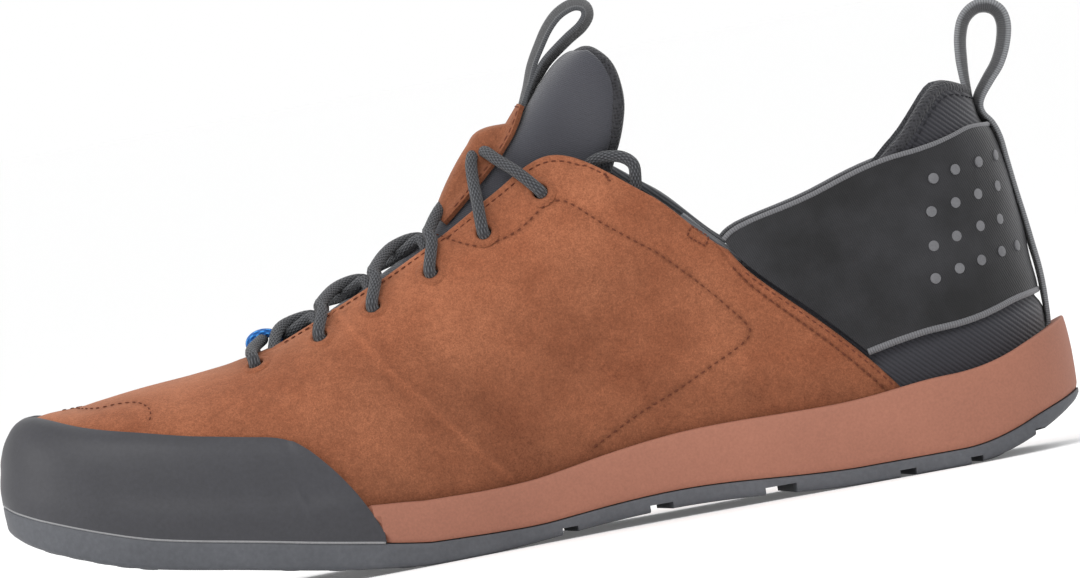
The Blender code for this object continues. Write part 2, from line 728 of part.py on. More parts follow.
def rand_column(x, side):
    """Outer and inner points up one column of the rand, x measured on the form."""
    top = rand_top(x)
    place = x_place(min(x, LENGTH - FORM_INSET), FORM_INSET, HEEL_SETBACK)
    wall_x = {True: place_x(place, 0.0, 0.0), False: place_x(place, RAND_THICKNESS, 0.0)}
    rim = feather(wall_x[False])
    top_turn = 90.0 if x > RAND_FULL * LENGTH else angle_at(x, (top - form_base(x)) / form_height(x))
    start = angle_at(x, (rim + 2.5 * MM - form_base(x)) / form_height(x))
    columns = {True: [], False: []}
    on_skin = x > RAND_TURN * LENGTH
    for i in range(RAND_ROWS + 1):
        for outer in (True, False):
            low = outsole_top(wall_x[outer]) + 1.5 * GAP
            if not on_skin:
                z = low + (top - low) * i / RAND_ROWS
                over = max(0.0, z - rim) / (4 * MM)
                wall = rand_wall(wall_x[outer], side, z, outer)
                if over > 0:
                    share = (z - form_base(x)) / form_height(x)
                    lift = GAP + (RAND_THICKNESS if outer else 0.0)
                    skin = on_form(side * place, angle_at(x, share), lift)
                    wall = wall.lerp(skin, min(1.0, over))
                columns[outer].append(wall)
            elif i < 2:
                columns[outer].append(rand_wall(wall_x[outer], side, (low, rim - 0.5 * MM)[i], outer))
            else:
                part = (i - 2) / (RAND_ROWS - 2)
                turn = start + (top_turn - start) * part
                thick = RAND_THICKNESS + (RAND_EDGE - RAND_THICKNESS) * max(0.0, (part - 0.7) / 0.3)
                extra = 0.5 * MM * (1 - part) ** 6 + 2.5 * GAP * min(1.0, max(0.0, (x / LENGTH - 0.86) / 0.06))
                columns[outer].append(on_form(side * place, turn, GAP + extra + (thick if outer else 0.0)))
    return columns


def make_rand(finish):
    back = x_place(RAND_BACK * LENGTH, 0, 0) - 0.0001
    stations = [place_x(p, FORM_INSET, HEEL_SETBACK) for p in places() if p > back]
    full = RAND_FULL * LENGTH
    stations = [x for x in stations if abs(x - full) > 1.2 * MM]
    stations = sorted(stations + [full])
    vertices, faces = [], []
    index = {}
    for side in (MEDIAL, LATERAL):
        for j, x in enumerate(stations):
            columns = rand_column(x, side)
            for skin, points in ((0, columns[True]), (1, columns[False])):
                for i, point in enumerate(points):
                    index[side, j, i, skin] = len(vertices)
                    vertices.append(point)
    last = len(stations) - 1
    for side in (MEDIAL, LATERAL):
        for j in range(last):
            for skin in (0, 1):
                for i in range(RAND_ROWS):
                    faces.append([index[side, j + a, i + b, skin] for a, b in ((0, 0), (1, 0), (1, 1), (0, 1))])
            faces.append([index[side, j + a, 0, skin] for a, skin in ((0, 0), (1, 0), (1, 1), (0, 1))])
            if stations[j] < full - 0.1 * MM:
                faces.append([index[side, j + a, RAND_ROWS, skin] for a, skin in ((0, 0), (1, 0), (1, 1), (0, 1))])
        for i in range(RAND_ROWS):
            faces.append([index[side, 0, i + a, skin] for a, skin in ((0, 0), (1, 0), (1, 1), (0, 1))])
    return add_object("toe_rand", vertices, faces, finish)


def make_band(finish):
    front = BAND_FRONT_FOOT * LENGTH
    feet = [place_x(p, FORM_INSET, HEEL_SETBACK) for p in places()]
    feet = [x for x in feet if x < front - 3 * MM] + [front]
    ribs = [(MEDIAL, foot) for foot in reversed(feet)] + [(LATERAL, foot) for foot in feet[1:]]
    sunk = -COUNTER_STEP
    outer, inner = [], []
    for side, foot in ribs:
        low = band_share(foot, 0)
        high = band_share(foot, 1)
        edge = BAND_TRIM_WIDTH / (0.5 * INSTEP_RISE)
        parts = [low, low + edge * 0.5, low + edge, low + edge * 1.15]
        parts += [low + (high - low) * k for k in (0.35, 0.6, 0.8)]
        parts += [high - edge * 1.15, high - edge, high - edge * 0.5, high]
        trims = [0, 1, 1, 0, 0, 0, 0, 0, 1, 1, 0]
        under = sunk + 1.5 * GAP
        lifts = [under + BAND_THICKNESS + BAND_TRIM * t for t in trims]
        outer.append([rib_at_share(side, foot, part, lift) for part, lift in zip(parts, lifts)])
        inner.append([rib_at_share(side, foot, part, under) for part in parts])
    return sheet_solid("heel_band", outer, inner, finish)


def rib_at_share(side, foot, share, lift):
    """A point of a rib where it has climbed a share of the form's height; it stops short of the suede's edge."""
    head = head_x(foot)
    low, high = 0.0, 1.6
    for _ in range(30):
        part = (low + high) / 2
        x = max(foot + (head - foot) * part, HEEL_SETBACK)
        turn = top_angle(x) * part
        if math.sin(math.radians(min(turn, 90))) ** square_power(x / LENGTH) < share:
            low = part
        else:
            high = part
    x = max(foot + (head - foot) * part, HEEL_SETBACK)
    return on_form(side * x_place(x, FORM_INSET, HEEL_SETBACK), min(top_angle(x) * part, 89.0), lift)


def band_share(foot, edge):
    """Share of the form's height where a band's edge crosses the rib that starts at foot."""
    curve = (band_bottom, band_top)[edge]
    share = 0.5
    for _ in range(6):
        head = head_x(foot)
        low, high = 0.0, 1.6
        for _ in range(24):
            part = (low + high) / 2
            x = max(foot + (head - foot) * part, HEEL_SETBACK)
            climbed = math.sin(math.radians(min(top_angle(x) * part, 90))) ** square_power(x / LENGTH)
            low, high = (part, high) if climbed < share else (low, part)
        share = curve(x / LENGTH)
    return share


def ridge_point(station, lift):
    x = station * LENGTH
    return on_form(x_place(x, FORM_INSET, HEEL_SETBACK), 90.0, lift)


def tongue_rows():
    """Arches of the tongue's outer face from under the vamp to its top."""
    rows = []
    for station, half in TONGUE_FOOT:
        x = station * LENGTH
        place = x_place(x, FORM_INSET, HEEL_SETBACK)
        turn = 1.0
        while abs(form_at(place, 90 - turn).y - form_at(place, 90).y) < half * TONGUE_WIDTH:
            turn += 0.5
        lift = -WALL - TONGUE_UNDER
        rows.append([on_form(place, 90 - turn + 2 * turn * i / TONGUE_COUNT, lift) for i in range(TONGUE_COUNT + 1)])
    root = ridge_point(TONGUE_ROOT, 0).z
    for rise, forward, half, depth, tilt in TONGUE:
        crest_x = (TONGUE_TOP + forward) * LENGTH
        crest_z = root + TONGUE_RISE * rise
        row = []
        for i in range(TONGUE_COUNT + 1):
            turn = math.radians(90 - 180 * i / TONGUE_COUNT)
            fall = depth * TONGUE_WIDTH * (1 - abs(math.cos(turn)) ** 0.9)
            x = crest_x - fall * math.sin(math.radians(tilt))
            z = crest_z - fall * math.cos(math.radians(tilt))
            y = half * TONGUE_WIDTH * math.copysign(abs(math.sin(turn)) ** 0.9, turn)
            row.append(world(x, y + ridge_y(x), z))
        rows.append(row)
    return rows


def keep_inside(point, room):
    """Moves a point that lies lower than the upper's edge in from its wall, by room from the outer skin."""
    x = LENGTH / 2 - point.x
    u = x / LENGTH
    share = (point.z - form_base(x)) / form_height(x)
    over = share - edge_share(u)
    near_tuck = point.y < 0 and over * form_height(x) > -30 * MM
    tucked = math.exp(-(((u - LACE_TUCK) / 0.045) ** 4)) if near_tuck else 0.0
    room += tucked * (2 * LACE_RADIUS + 6 * GAP)
    weight = min(1.0, max(0.0, 1 - (over * form_height(x) - (3 + 5 * tucked) * MM) / (8 * MM)))
    if weight <= 0 or not 0.05 < u < 0.8:
        return point
    share = min(share, edge_share(u))
    side = MEDIAL if point.y < ridge_y(x) else LATERAL
    limit = skin_point(x, share, side, -room).y
    held = max(point.y, limit) if side == MEDIAL else min(point.y, limit)
    return Vector((point.x, point.y + (held - point.y) * weight, point.z))


def grid_normals(rows):
    """Outward directions of a grid of points."""
    normals = []
    for i, row in enumerate(rows):
        line = []
        for j in range(len(row)):
            along = rows[min(i + 1, len(rows) - 1)][j] - rows[max(i - 1, 0)][j]
            across = row[min(j + 1, len(row) - 1)] - row[max(j - 1, 0)]
            line.append(across.cross(along).normalized())
        normals.append(line)
    return normals


def make_tongue(finish):
    outer = [[keep_inside(p, WALL + TONGUE_UNDER + 1.3 * MM) for p in row] for row in tongue_rows()]
    normals = grid_normals(outer)
    if normals[3][TONGUE_COUNT // 2].z < 0:
        normals = [[-n for n in row] for row in normals]
    last = len(outer) - 1
    inner = []
    for i, row in enumerate(outer):
        thick = TONGUE_THICKNESS * min(1.0, 0.45 + 0.55 * i / 5) * (1.0 if i < last - 1 else 0.75)
        inner.append([p - n * thick for p, n in zip(row, normals[i])])
    return outer, normals, sheet_solid("tongue", outer, inner, finish)


def make_overlay(outer, normals, finish):
    """The suede patch on the tongue's front, raised in its middle where the lace passes under it."""
    first, last = 6.4, 8.5
    middle = TONGUE_COUNT // 2
    top, low = [], []
    columns = [middle - 2 + 0.5 * k for k in range(9)]
    steps = OVERLAY_STEPS
    for a in range(steps + 1):
        i = first + (last - first) * a / steps
        part = a / steps
        lower, upper = [], []
        for column in columns:
            point, normal = grid_at(outer, i, column), grid_at(normals, i, column).normalized()
            across = (column - middle) / 2
            narrow = OVERLAY_WIDTH / 2 * (1 - 0.25 * part**2)
            centre = grid_at(outer, i, middle)
            sideways = (grid_at(outer, i, middle + 2) - grid_at(outer, i, middle - 2)).length / 2
            reach = narrow / sideways
            column = middle + (column - middle) * reach
            point, normal = grid_at(outer, i, column), grid_at(normals, i, column).normalized()
            lump = KEEPER_RISE * max(0.0, math.sin(math.pi * min(1.0, part / 0.72))) ** 0.8
            lump *= max(0.0, 1 - abs(across) ** 4)
            lower.append(point + normal * (3 * GAP + lump))
            upper.append(point + normal * (3 * GAP + lump + OVERLAY_THICKNESS))
        low.append(lower)
        top.append(upper)
    return sheet_solid("tongue_patch", top, low, finish)


def grid_at(rows, i, j):
    a, b = min(int(i), len(rows) - 2), min(max(int(j), 0), len(rows[0]) - 2)
    s, t = i - a, j - b
    low = rows[a][b].lerp(rows[a][b + 1], t)
    high = rows[a + 1][b].lerp(rows[a + 1][b + 1], t)
    return low.lerp(high, s)


def strap_parts(path, width, thickness, across=Vector((0, 1, 0))):
    """Sections of a flat webbing along a path."""
    sections = []
    count = len(path)
    for i, point in enumerate(path):
        ahead = (path[min(i + 1, count - 1)] - path[max(i - 1, 0)]).normalized()
        flat = ahead.cross(across).normalized()
        corners = ((-1, -1), (1, -1), (1, 1), (-1, 1))
        sections.append([point + across * (a * width / 2) + flat * (b * thickness / 2) for a, b in corners])
    return sections


# Middle line of the heel's webbing, of the tongue's loop and of the lace's tucked end, in millimetres from the
# heel's back and from the ground; the lace end's rows also hold its place across
HEEL_LOOP = (
    (4.3, 35.8), (4.3, 43), (4.3, 50), (4.9, 56.5), (5.9, 66), (6.9, 76.0), (7.8, 85.0), (9.6, 90.2),
    (11.2, 94.2), (9.2, 98.8), (5.8, 103.6), (3.3, 108.2), (2.6, 113.6), (3.4, 118.4), (6.2, 120.8),
    (9.0, 120.4), (12.2, 117.6), (14.5, 113.2), (14.8, 108), (13.8, 102.6), (13.0, 98.6), (12.9, 96.4),
)
TONGUE_LOOP = (
    (130.6, 121.2), (131.0, 124.2), (129.0, 129.4), (125.4, 134.2), (121.2, 138.3), (117.0, 140.6), (114.2, 140.2),
    (113.0, 137.8), (115.0, 135.0), (119.0, 132.2), (122.0, 129.9), (123.7, 127.9),
)


LACE_END = (
    (120.2, -13.6, 97.3), (117.8, -14.4, 98.7), (114.5, -15.7, 99.2), (110.5, -17.2, 98.4), (107.8, -18.1, 96.0),
    (107.7, -18.2, 92.6), (108.6, -18.0, 88.6), (111.0, -17.2, 83.5), (114.0, -16.4, 77.0),
)


def make_heel_loop(finish):
    points = [world(x * MM, ridge_y(x * MM), z * MM) for x, z in HEEL_LOOP]
    return loft("heel_loop", strap_parts(smooth_path(points, 2), WEBBING_WIDTH, WEBBING_THICKNESS), finish)


def make_tongue_loop(finish):
    points = [world(x * MM, 0.0, z * MM) for x, z in TONGUE_LOOP]
    return loft("tongue_loop", strap_parts(smooth_path(points, 2), 0.8 * WEBBING_WIDTH, WEBBING_THICKNESS), finish)


def cleared(path, trees, room):
    """The path pushed off the trees' faces until each of its points has the room."""
    moved = []
    for point in path:
        for _ in range(4):
            for tree in trees:
                near, normal, _, _ = tree.find_nearest(point)
                away = (point - near).dot(normal)
                gap = (point - near).length * (1 if away > 0 else -1)
                if gap < room and (point - near).length < 3 * room:
                    point = point + normal * (room - gap)
        moved.append(point)
    return moved


def lace_strand(side, station, next_station, trees, tucked):
    """Centre line of a lace from its eyelet, or from under the near edge, over the throat to the far edge."""
    near, far = station * LENGTH, next_station * LENGTH
    near_place = side * x_place(near, FORM_INSET, HEEL_SETBACK)
    far_place = -side * x_place(far, FORM_INSET, HEEL_SETBACK)
    points = [on_form(near_place, top_angle(near) + 0.45 * (90 - top_angle(near)), -0.2 * MM)]
    if not tucked:
        points = [
            on_form(near_place, top_angle(near) - 3, LACE_RADIUS + 2 * GAP),
            on_form(near_place, top_angle(near) + 3, LACE_RADIUS + 2 * GAP),
        ]
    points.append(ridge_point((station + next_station) / 2, LACE_CLEAR))
    points.append(on_form(far_place, top_angle(far) + 0.45 * (90 - top_angle(far)), -0.2 * MM))
    return cleared(smooth_path(points, 4), trees, LACE_RADIUS + 1.5 * GAP)


def faces_of(piece):
    mesh = piece.data
    return BVHTree.FromPolygons([v.co for v in mesh.vertices], [tuple(p.vertices) for p in mesh.polygons])


def make_laces(finish, tongue, upper):
    trees = [faces_of(tongue), faces_of(upper)]
    for k in range(len(EYELET_PLACES) - 2):
        station, after = EYELET_PLACES[k], EYELET_PLACES[k + 1]
        if k == 0:
            station -= 0.02
        if k == 2:
            after += 0.010
        if k == 3:
            after += 0.028
        strands = []
        for side in (MEDIAL, LATERAL):
            path = lace_strand(side, station, after, trees, k == 0)
            name = f"lace_{k + 1}" if side == MEDIAL else f"lace_{k + 1}_over"
            strands.append(add_object(name, *tube_parts(path, LACE_RADIUS), finish))
        strands[1].hide_render = True
        strands[1].display_type = "WIRE"
        modifier = strands[0].modifiers.new("cross", "BOOLEAN")
        modifier.operation = "UNION"
        modifier.solver = "EXACT"
        modifier.object = strands[1]
    add_object("lace_bar", *tube_parts(smooth_path(bar_points(), 4), LACE_RADIUS), finish)


def bar_points():
    """The lowest lace, straight across between the first pair of eyelets and drawn back in its middle."""
    x = EYELET_PLACES[0] * LENGTH
    place = x_place(x, FORM_INSET, HEEL_SETBACK)
    ends = [on_form(side * place, top_angle(x) - 2, LACE_RADIUS + 2 * GAP) for side in (MEDIAL, LATERAL)]
    return [ends[0], ridge_point(EYELET_PLACES[0] - 0.011, LACE_RADIUS + 1 * GAP), ends[1]]


def make_anchor(finish):
    """The short cord arch that holds the lowest lace down at the foot of the throat."""
    middle = bar_points()[1]
    reach = LACE_RADIUS + GAP + ANCHOR_RADIUS + 0.2 * MM
    path = []
    for k in range(9):
        turn = math.radians(-12 + 204 * k / 8)
        path.append(middle + Vector((-math.cos(turn) * reach, 0, math.sin(turn) * reach)))
    vertices, faces = tube_parts(path, ANCHOR_RADIUS)
    return add_object("throat_loop", vertices, faces, finish)


def make_lace_end(finish):
    path = smooth_path([world(x * MM, y * MM, z * MM) for x, y, z in LACE_END], 3)
    vertices, faces = tube_parts(path, LACE_RADIUS)
    return add_object("lace_end", vertices, faces, finish)


def settle():
    """Puts the middle of the shoe's bounding box over the origin, its lowest point on the ground."""
    bpy.context.view_layer.update()
    graph = bpy.context.evaluated_depsgraph_get()
    low, high = Vector((9, 9, 9)), Vector((-9, -9, -9))
    for piece in bpy.context.scene.objects:
        if piece.type != "MESH" or piece.hide_render:
            continue
        shaped = piece.evaluated_get(graph)
        for corner in shaped.data.vertices:
            low = Vector(map(min, low, corner.co))
            high = Vector(map(max, high, corner.co))
    shift = Vector((-(low.x + high.x) / 2, -(low.y + high.y) / 2, -low.z))
    for piece in bpy.context.scene.objects:
        if piece.type == "MESH":
            piece.data.transform(Matrix.Translation(shift))


def main():
    bpy.context.scene.collection.objects.link(SHOE)
    suede = material("suede", (0.40, 0.15, 0.065), 0.9)
    textile = material("textile", (0.045, 0.047, 0.055), 0.85)
    stretch = material("stretch_fabric", (0.025, 0.026, 0.028), 0.7)
    rand = material("rand_rubber", (0.085, 0.087, 0.095), 0.55)
    tread = material("tread_rubber", (0.09, 0.095, 0.115), 0.7)
    foam = material("midsole_foam", (0.36, 0.155, 0.10), 0.75)
    webbing = material("webbing", (0.16, 0.165, 0.175), 0.8)
    cord = material("lace_cord", (0.06, 0.065, 0.07), 0.8)
    blue = material("blue_cord", (0.03, 0.20, 0.55), 0.6)
    lining = material("insole_fabric", (0.05, 0.05, 0.055), 0.9)
    make_outsole(tread)
    make_midsole(foam)
    make_insole(lining)
    upper = make_upper(suede)
    make_rand(rand)
    make_band(stretch)
    outer, normals, tongue = make_tongue(textile)
    make_overlay(outer, normals, suede)
    make_heel_loop(webbing)
    make_tongue_loop(webbing)
    make_laces(cord, tongue, upper)
    make_anchor(blue)
    make_lace_end(cord)
    settle()


main()
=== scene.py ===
"""Looks of the approach shoe: skins, seams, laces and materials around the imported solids, in metres.

The last is read as in the solids' own source: form_at() gives points of the upper's outer skin from a
place round the sole outline and an angle up the section. Here it takes arrays, so that fine grids stay quick.
"""

import math

import bmesh
import bpy
import numpy as np
from mathutils import Matrix, Vector

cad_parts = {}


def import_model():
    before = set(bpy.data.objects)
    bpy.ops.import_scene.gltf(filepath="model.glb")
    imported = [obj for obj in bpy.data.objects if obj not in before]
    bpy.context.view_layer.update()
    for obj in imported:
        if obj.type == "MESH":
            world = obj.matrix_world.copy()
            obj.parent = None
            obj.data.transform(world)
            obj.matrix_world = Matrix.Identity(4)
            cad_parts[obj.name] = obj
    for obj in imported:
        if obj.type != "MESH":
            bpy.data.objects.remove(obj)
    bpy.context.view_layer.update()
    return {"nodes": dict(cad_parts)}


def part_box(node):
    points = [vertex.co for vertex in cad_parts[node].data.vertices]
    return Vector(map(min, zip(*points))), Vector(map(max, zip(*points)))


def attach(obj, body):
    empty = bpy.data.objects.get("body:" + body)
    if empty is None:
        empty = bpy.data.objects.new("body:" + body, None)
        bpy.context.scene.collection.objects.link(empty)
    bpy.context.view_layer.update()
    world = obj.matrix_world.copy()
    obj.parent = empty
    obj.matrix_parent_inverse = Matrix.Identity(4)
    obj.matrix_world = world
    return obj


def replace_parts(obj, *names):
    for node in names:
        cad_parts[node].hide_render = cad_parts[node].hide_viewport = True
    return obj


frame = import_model()

MM = 0.001
MEDIAL, LATERAL = -1, 1
SIDES = (MEDIAL, LATERAL)
ELEVATION = 1.0

# Sizes and tables of the part, as in its source
LENGTH = 292 * MM
BALL_WIDTH = 102 * MM
WAIST_WIDTH = 70 * MM
HEEL_WIDTH = 73 * MM
TOE_SPRING = 28.5 * MM
HEEL_BEVEL = 12 * MM
ARCH_RISE = 2.8 * MM
INSTEP_RISE = 95 * MM
OUTSOLE_THICKNESS = 8 * MM
MIDSOLE_THICKNESS = 20.4 * MM
HEEL_FLAT = (0.116, 0.212)
BALL_FLAT = (0.565, 0.615)
HEEL_ROUND = 38 * MM
TOE_OFFSET = 13 * MM
MEDIAL_TOE_START = 0.80
LATERAL_TOE_START = 0.70
HEEL_POWER, MEDIAL_TOE_POWER, LATERAL_TOE_POWER = 2.2, 2.3, 2.0
CUP_DEPTH = 6 * MM
CUP_WALL = 1.6 * MM
RAND_BACK = 0.655
GAP = 0.3 * MM
GROOVE_DEPTH = 2 * MM
WALL = 2.4 * MM
COUNTER_STEP = 2.0 * MM
COUNTER_WALL = 2.6 * MM
HEEL_SETBACK = 5.2 * MM
THROAT_FRONT = 0.758
EYELET_RADIUS = 2.2 * MM
EYELET_PLACES = (0.745, 0.682, 0.629, 0.571, 0.516, 0.458)
EYELET_BELOW_EDGE = 9.5 * MM
RAND_THICKNESS = 1.8 * MM
BAND_THICKNESS = 1.25 * MM
WEBBING_WIDTH = 10 * MM
WEBBING_THICKNESS = 1.3 * MM
LACE_RADIUS = 1.65 * MM
ANCHOR_RADIUS = 1.4 * MM
TONGUE_THICKNESS = 4.5 * MM
TONGUE_RISE = 39.5 * MM
TONGUE_ROOT = 0.56
TONGUE_TOP = 0.402
LACE_TUCK = 0.392
TONGUE_WIDTH = 46 * MM
OVERLAY_WIDTH = 21 * MM
OVERLAY_THICKNESS = 1.3 * MM
KEEPER_RISE = 4.6 * MM
TONGUE_UNDER = 1.3 * MM
LACE_CLEAR = 1.2 * MM
TONGUE_COUNT = 12

OUTLINE = (
    (0.00, HEEL_WIDTH, 0.480, 0.480),
    (0.07, HEEL_WIDTH, 0.494, 0.494),
    (0.15, HEEL_WIDTH, 0.500, 0.500),
    (0.27, HEEL_WIDTH, 0.459, 0.507),
    (0.39, WAIST_WIDTH, 0.436, 0.556),
    (0.51, WAIST_WIDTH, 0.515, 0.635),
    (0.63, BALL_WIDTH, 0.455, 0.490),
    (0.70, BALL_WIDTH, 0.490, 0.510),
    (0.79, BALL_WIDTH, 0.496, 0.505),
    (0.86, BALL_WIDTH, 0.490, 0.500),
    (1.00, BALL_WIDTH, 0.480, 0.490),
)

LAYER_COLUMNS = ("station", "outsole", "midsole", "form", "edge", "crown", "bulge", "square")

LAYERS = (
    (0.000, 0.30, 1.000, 0.788, 0.880, 0.315, 0.010, 1.00),
    (0.050, 0.57, 0.970, 0.878, 0.912, 0.315, 0.012, 1.00),
    (0.120, 0.56, 1.000, 0.912, 0.775, 0.315, 0.014, 1.00),
    (0.200, 0.57, 0.900, 0.935, 0.600, 0.285, 0.016, 1.00),
    (0.280, 0.55, 0.840, 0.936, 0.525, 0.225, 0.020, 1.00),
    (0.360, 0.57, 0.765, 0.952, 0.727, 0.115, 0.024, 1.00),
    (0.440, 0.54, 0.680, 0.955, 0.905, 0.030, 0.025, 1.00),
    (0.500, 0.52, 0.615, 0.874, 0.935, 0.000, 0.024, 1.00),
    (0.560, 0.66, 0.575, 0.768, 0.943, 0.000, 0.022, 1.00),
    (0.620, 0.765, 0.560, 0.663, 0.952, 0.000, 0.020, 0.98),
    (0.680, 0.89, 0.490, 0.560, 0.960, 0.000, 0.018, 0.94),
    (0.740, 0.94, 0.440, 0.453, 0.982, 0.000, 0.017, 0.88),
    (0.758, 0.95, 0.430, 0.426, 1.000, 0.000, 0.017, 0.86),
    (0.800, 0.955, 0.410, 0.388, 1.000, 0.000, 0.016, 0.82),
    (0.860, 1.00, 0.395, 0.339, 1.000, 0.000, 0.015, 0.76),
    (0.910, 1.08, 0.360, 0.281, 1.000, 0.000, 0.014, 0.73),
    (0.950, 1.07, 0.335, 0.236, 1.000, 0.000, 0.012, 0.72),
    (0.970, 1.04, 0.325, 0.192, 1.000, 0.000, 0.008, 0.72),
    (0.980, 1.02, 0.320, 0.140, 1.000, 0.000, 0.004, 0.72),
    (0.990, 0.97, 0.310, 0.058, 1.000, 0.000, 0.000, 0.72),
    (1.000, 0.95, 0.300, 0.038, 1.000, 0.000, 0.000, 0.72),
)

GROOVES = (
    (0.052, 4 * MM, 0.10),
    (0.118, 4 * MM, 0.10),
    (0.185, 5 * MM, 0.12),
    (0.305, 9 * MM, 0.15),
    (0.415, 7 * MM, 0.15),
    (0.500, 5 * MM, 0.12),
    (0.680, 4 * MM, 0.12),
    (0.740, 4 * MM, 0.12),
    (0.800, 4 * MM, 0.12),
    (0.860, 4 * MM, 0.12),
)

TOE_RISE = (
    (0.0, 0.0), (0.10, 0.045), (0.22, 0.115), (0.45, 0.285), (0.70, 0.480), (0.85, 0.680), (0.95, 0.860),
    (1.0, 1.0),
)

HEEL_LEAN = (
    (0.30, 0.0), (0.45, 0.004), (0.53, 0.012), (0.626, 0.022), (0.70, 0.031), (0.80, 0.044), (0.90, 0.066),
    (0.94, 0.082), (0.968, 0.098), (1.03, 0.112), (1.09, 0.138), (1.15, 0.165),
)

LEAN_REACH = 0.24

RIBS = (
    (0.0, 0.0), (0.03, 0.035), (0.065, 0.095), (0.105, 0.180), (0.152, 0.298), (0.24, 0.355), (0.34, 0.418),
    (0.45, 0.478), (0.56, 0.565), (0.68, 0.682), (1.0, 1.0),
)

COUNTER_FOOT = 0.152

RAND_TOP = (
    (0.655, 0.03), (0.667, 0.150), (0.682, 0.262), (0.697, 0.360), (0.713, 0.450), (0.730, 0.520),
    (0.748, 0.560), (0.766, 0.585), (0.784, 0.606), (0.820, 0.650), (0.855, 0.705), (0.891, 0.775),
    (0.927, 0.870), (0.945, 0.935), (0.957, 0.985), (0.966, 1.0), (1.0, 1.0),
)

RAND_FULL = 0.966
RAND_TURN = 0.725

BAND = (
    (0.0, 0.185, 0.73), (0.06, 0.205, 0.72), (0.12, 0.205, 0.705), (0.19, 0.185, 0.66), (0.25, 0.20, 0.61),
    (0.298, 0.22, 0.555),
)

BAND_FRONT_FOOT = 0.1475
TONGUE_FOOT = (
    (0.80, 0.26), (0.765, 0.28), (0.73, 0.30), (0.69, 0.31), (0.65, 0.33), (0.61, 0.34), (0.575, 0.35),
)

TONGUE = (
    (0.36, 0.0960, 0.340, 0.600, 58.0),
    (0.504, 0.0753, 0.360, 0.600, 66.0),
    (0.67, 0.0558, 0.390, 0.550, 74.0),
    (0.797, 0.0410, 0.410, 0.460, 78.0),
    (0.913, 0.0257, 0.440, 0.330, 80.0),
    (0.98, 0.0120, 0.410, 0.190, 80.0),
    (1.00, 0.0, 0.360, 0.060, 80.0),
)

LACE_END = (
    (120.2, -13.6, 97.3), (117.8, -14.4, 98.7), (114.5, -15.7, 99.2), (110.5, -17.2, 98.4),
    (107.8, -18.1, 96.0), (107.7, -18.2, 92.6), (108.6, -18.0, 88.6), (111.0, -17.2, 83.5),
    (114.0, -16.4, 77.0),
)


def curve_through(rows, key, value):
    """A smooth curve through the rows' points that never overshoots them, for arrays of places."""
    xs = np.array([row[key] for row in rows], float)
    ys = np.array([row[value] for row in rows], float)
    steps = np.diff(xs)
    slopes = np.diff(ys) / steps
    tangents = np.zeros(len(xs))
    for i in range(1, len(xs) - 1):
        before, after = slopes[i - 1], slopes[i]
        if before * after > 0:
            w1, w2 = 2 * steps[i] + steps[i - 1], steps[i] + 2 * steps[i - 1]
            tangents[i] = (w1 + w2) / (w1 / before + w2 / after)
    tangents[0], tangents[-1] = slopes[0], slopes[-1]

    def at(x):
        x = np.clip(x, xs[0], xs[-1])
        i = np.clip(np.searchsorted(xs, x, side="right") - 1, 0, len(xs) - 2)
        t = (x - xs[i]) / steps[i]
        low = (1 + 2 * t) * (1 - t) ** 2 * ys[i] + t * (1 - t) ** 2 * steps[i] * tangents[i]
        return low + t * t * (3 - 2 * t) * ys[i + 1] + t * t * (t - 1) * steps[i] * tangents[i + 1]

    return at


def layer(name):
    return curve_through(LAYERS, 0, LAYER_COLUMNS.index(name))


outsole_share, midsole_share, form_share = layer("outsole"), layer("midsole"), layer("form")
edge_share, crown_share = layer("edge"), layer("crown")
bulge_share, square_power = layer("bulge"), layer("square")
medial_half = curve_through([(row[0], row[1] * row[2]) for row in OUTLINE], 0, 1)
lateral_half = curve_through([(row[0], row[1] * row[3]) for row in OUTLINE], 0, 1)
toe_rise = curve_through(TOE_RISE, 0, 1)
heel_lean = curve_through(HEEL_LEAN, 0, 1)
rib_head = curve_through(RIBS, 0, 1)
rand_height = curve_through(RAND_TOP, 0, 1)
band_bottom, band_top = curve_through(BAND, 0, 1), curve_through(BAND, 0, 2)


def outline_half(side, u):
    return np.where(np.asarray(side) < 0, medial_half(u), lateral_half(u))


def world(x, y, z):
    """Points from their distance in front of the heel, their place across and their height."""
    x, y, z = np.broadcast_arrays(x, y, z)
    return np.stack([LENGTH / 2 - x, y, z], -1).astype(float)


def sole_bottom(x):
    """Height of the tread: bevelled heel, flat under heel and ball, arched between, sprung at the toe."""
    u = np.asarray(x, float) / LENGTH
    heel = HEEL_BEVEL * np.maximum(0.0, 1 - u / HEEL_FLAT[0]) ** 1.8
    run = np.clip((u - HEEL_FLAT[1]) / (BALL_FLAT[0] - HEEL_FLAT[1]), 0, 1)
    arch = ARCH_RISE * np.abs(np.sin(math.pi * run)) ** 1.5
    toe = TOE_SPRING * toe_rise((u - BALL_FLAT[1]) / (1 - BALL_FLAT[1]))
    return heel + arch + np.where(u > BALL_FLAT[1], toe, 0.0)


def outsole_top(x):
    return sole_bottom(x) + OUTSOLE_THICKNESS * outsole_share(x / LENGTH)


def feather(x):
    """Height of the midsole's upper edge."""
    return outsole_top(x) + MIDSOLE_THICKNESS * midsole_share(x / LENGTH)


def cup_depth(x):
    return CUP_DEPTH * (1 - 0.55 * np.clip((x / LENGTH - 0.6) / 0.3, 0, 1))


def form_base(x):
    """Height of the last's foot, down in the midsole's cup."""
    return feather(x) - cup_depth(x)


def form_height(x):
    return cup_depth(x) + INSTEP_RISE * form_share(x / LENGTH)


def ridge_y(x):
    """Place across of the last's ridge, which turns in to the big toe."""
    share = np.maximum(0.0, (x / LENGTH - 0.42) / 0.58)
    return -TOE_OFFSET * share**1.3


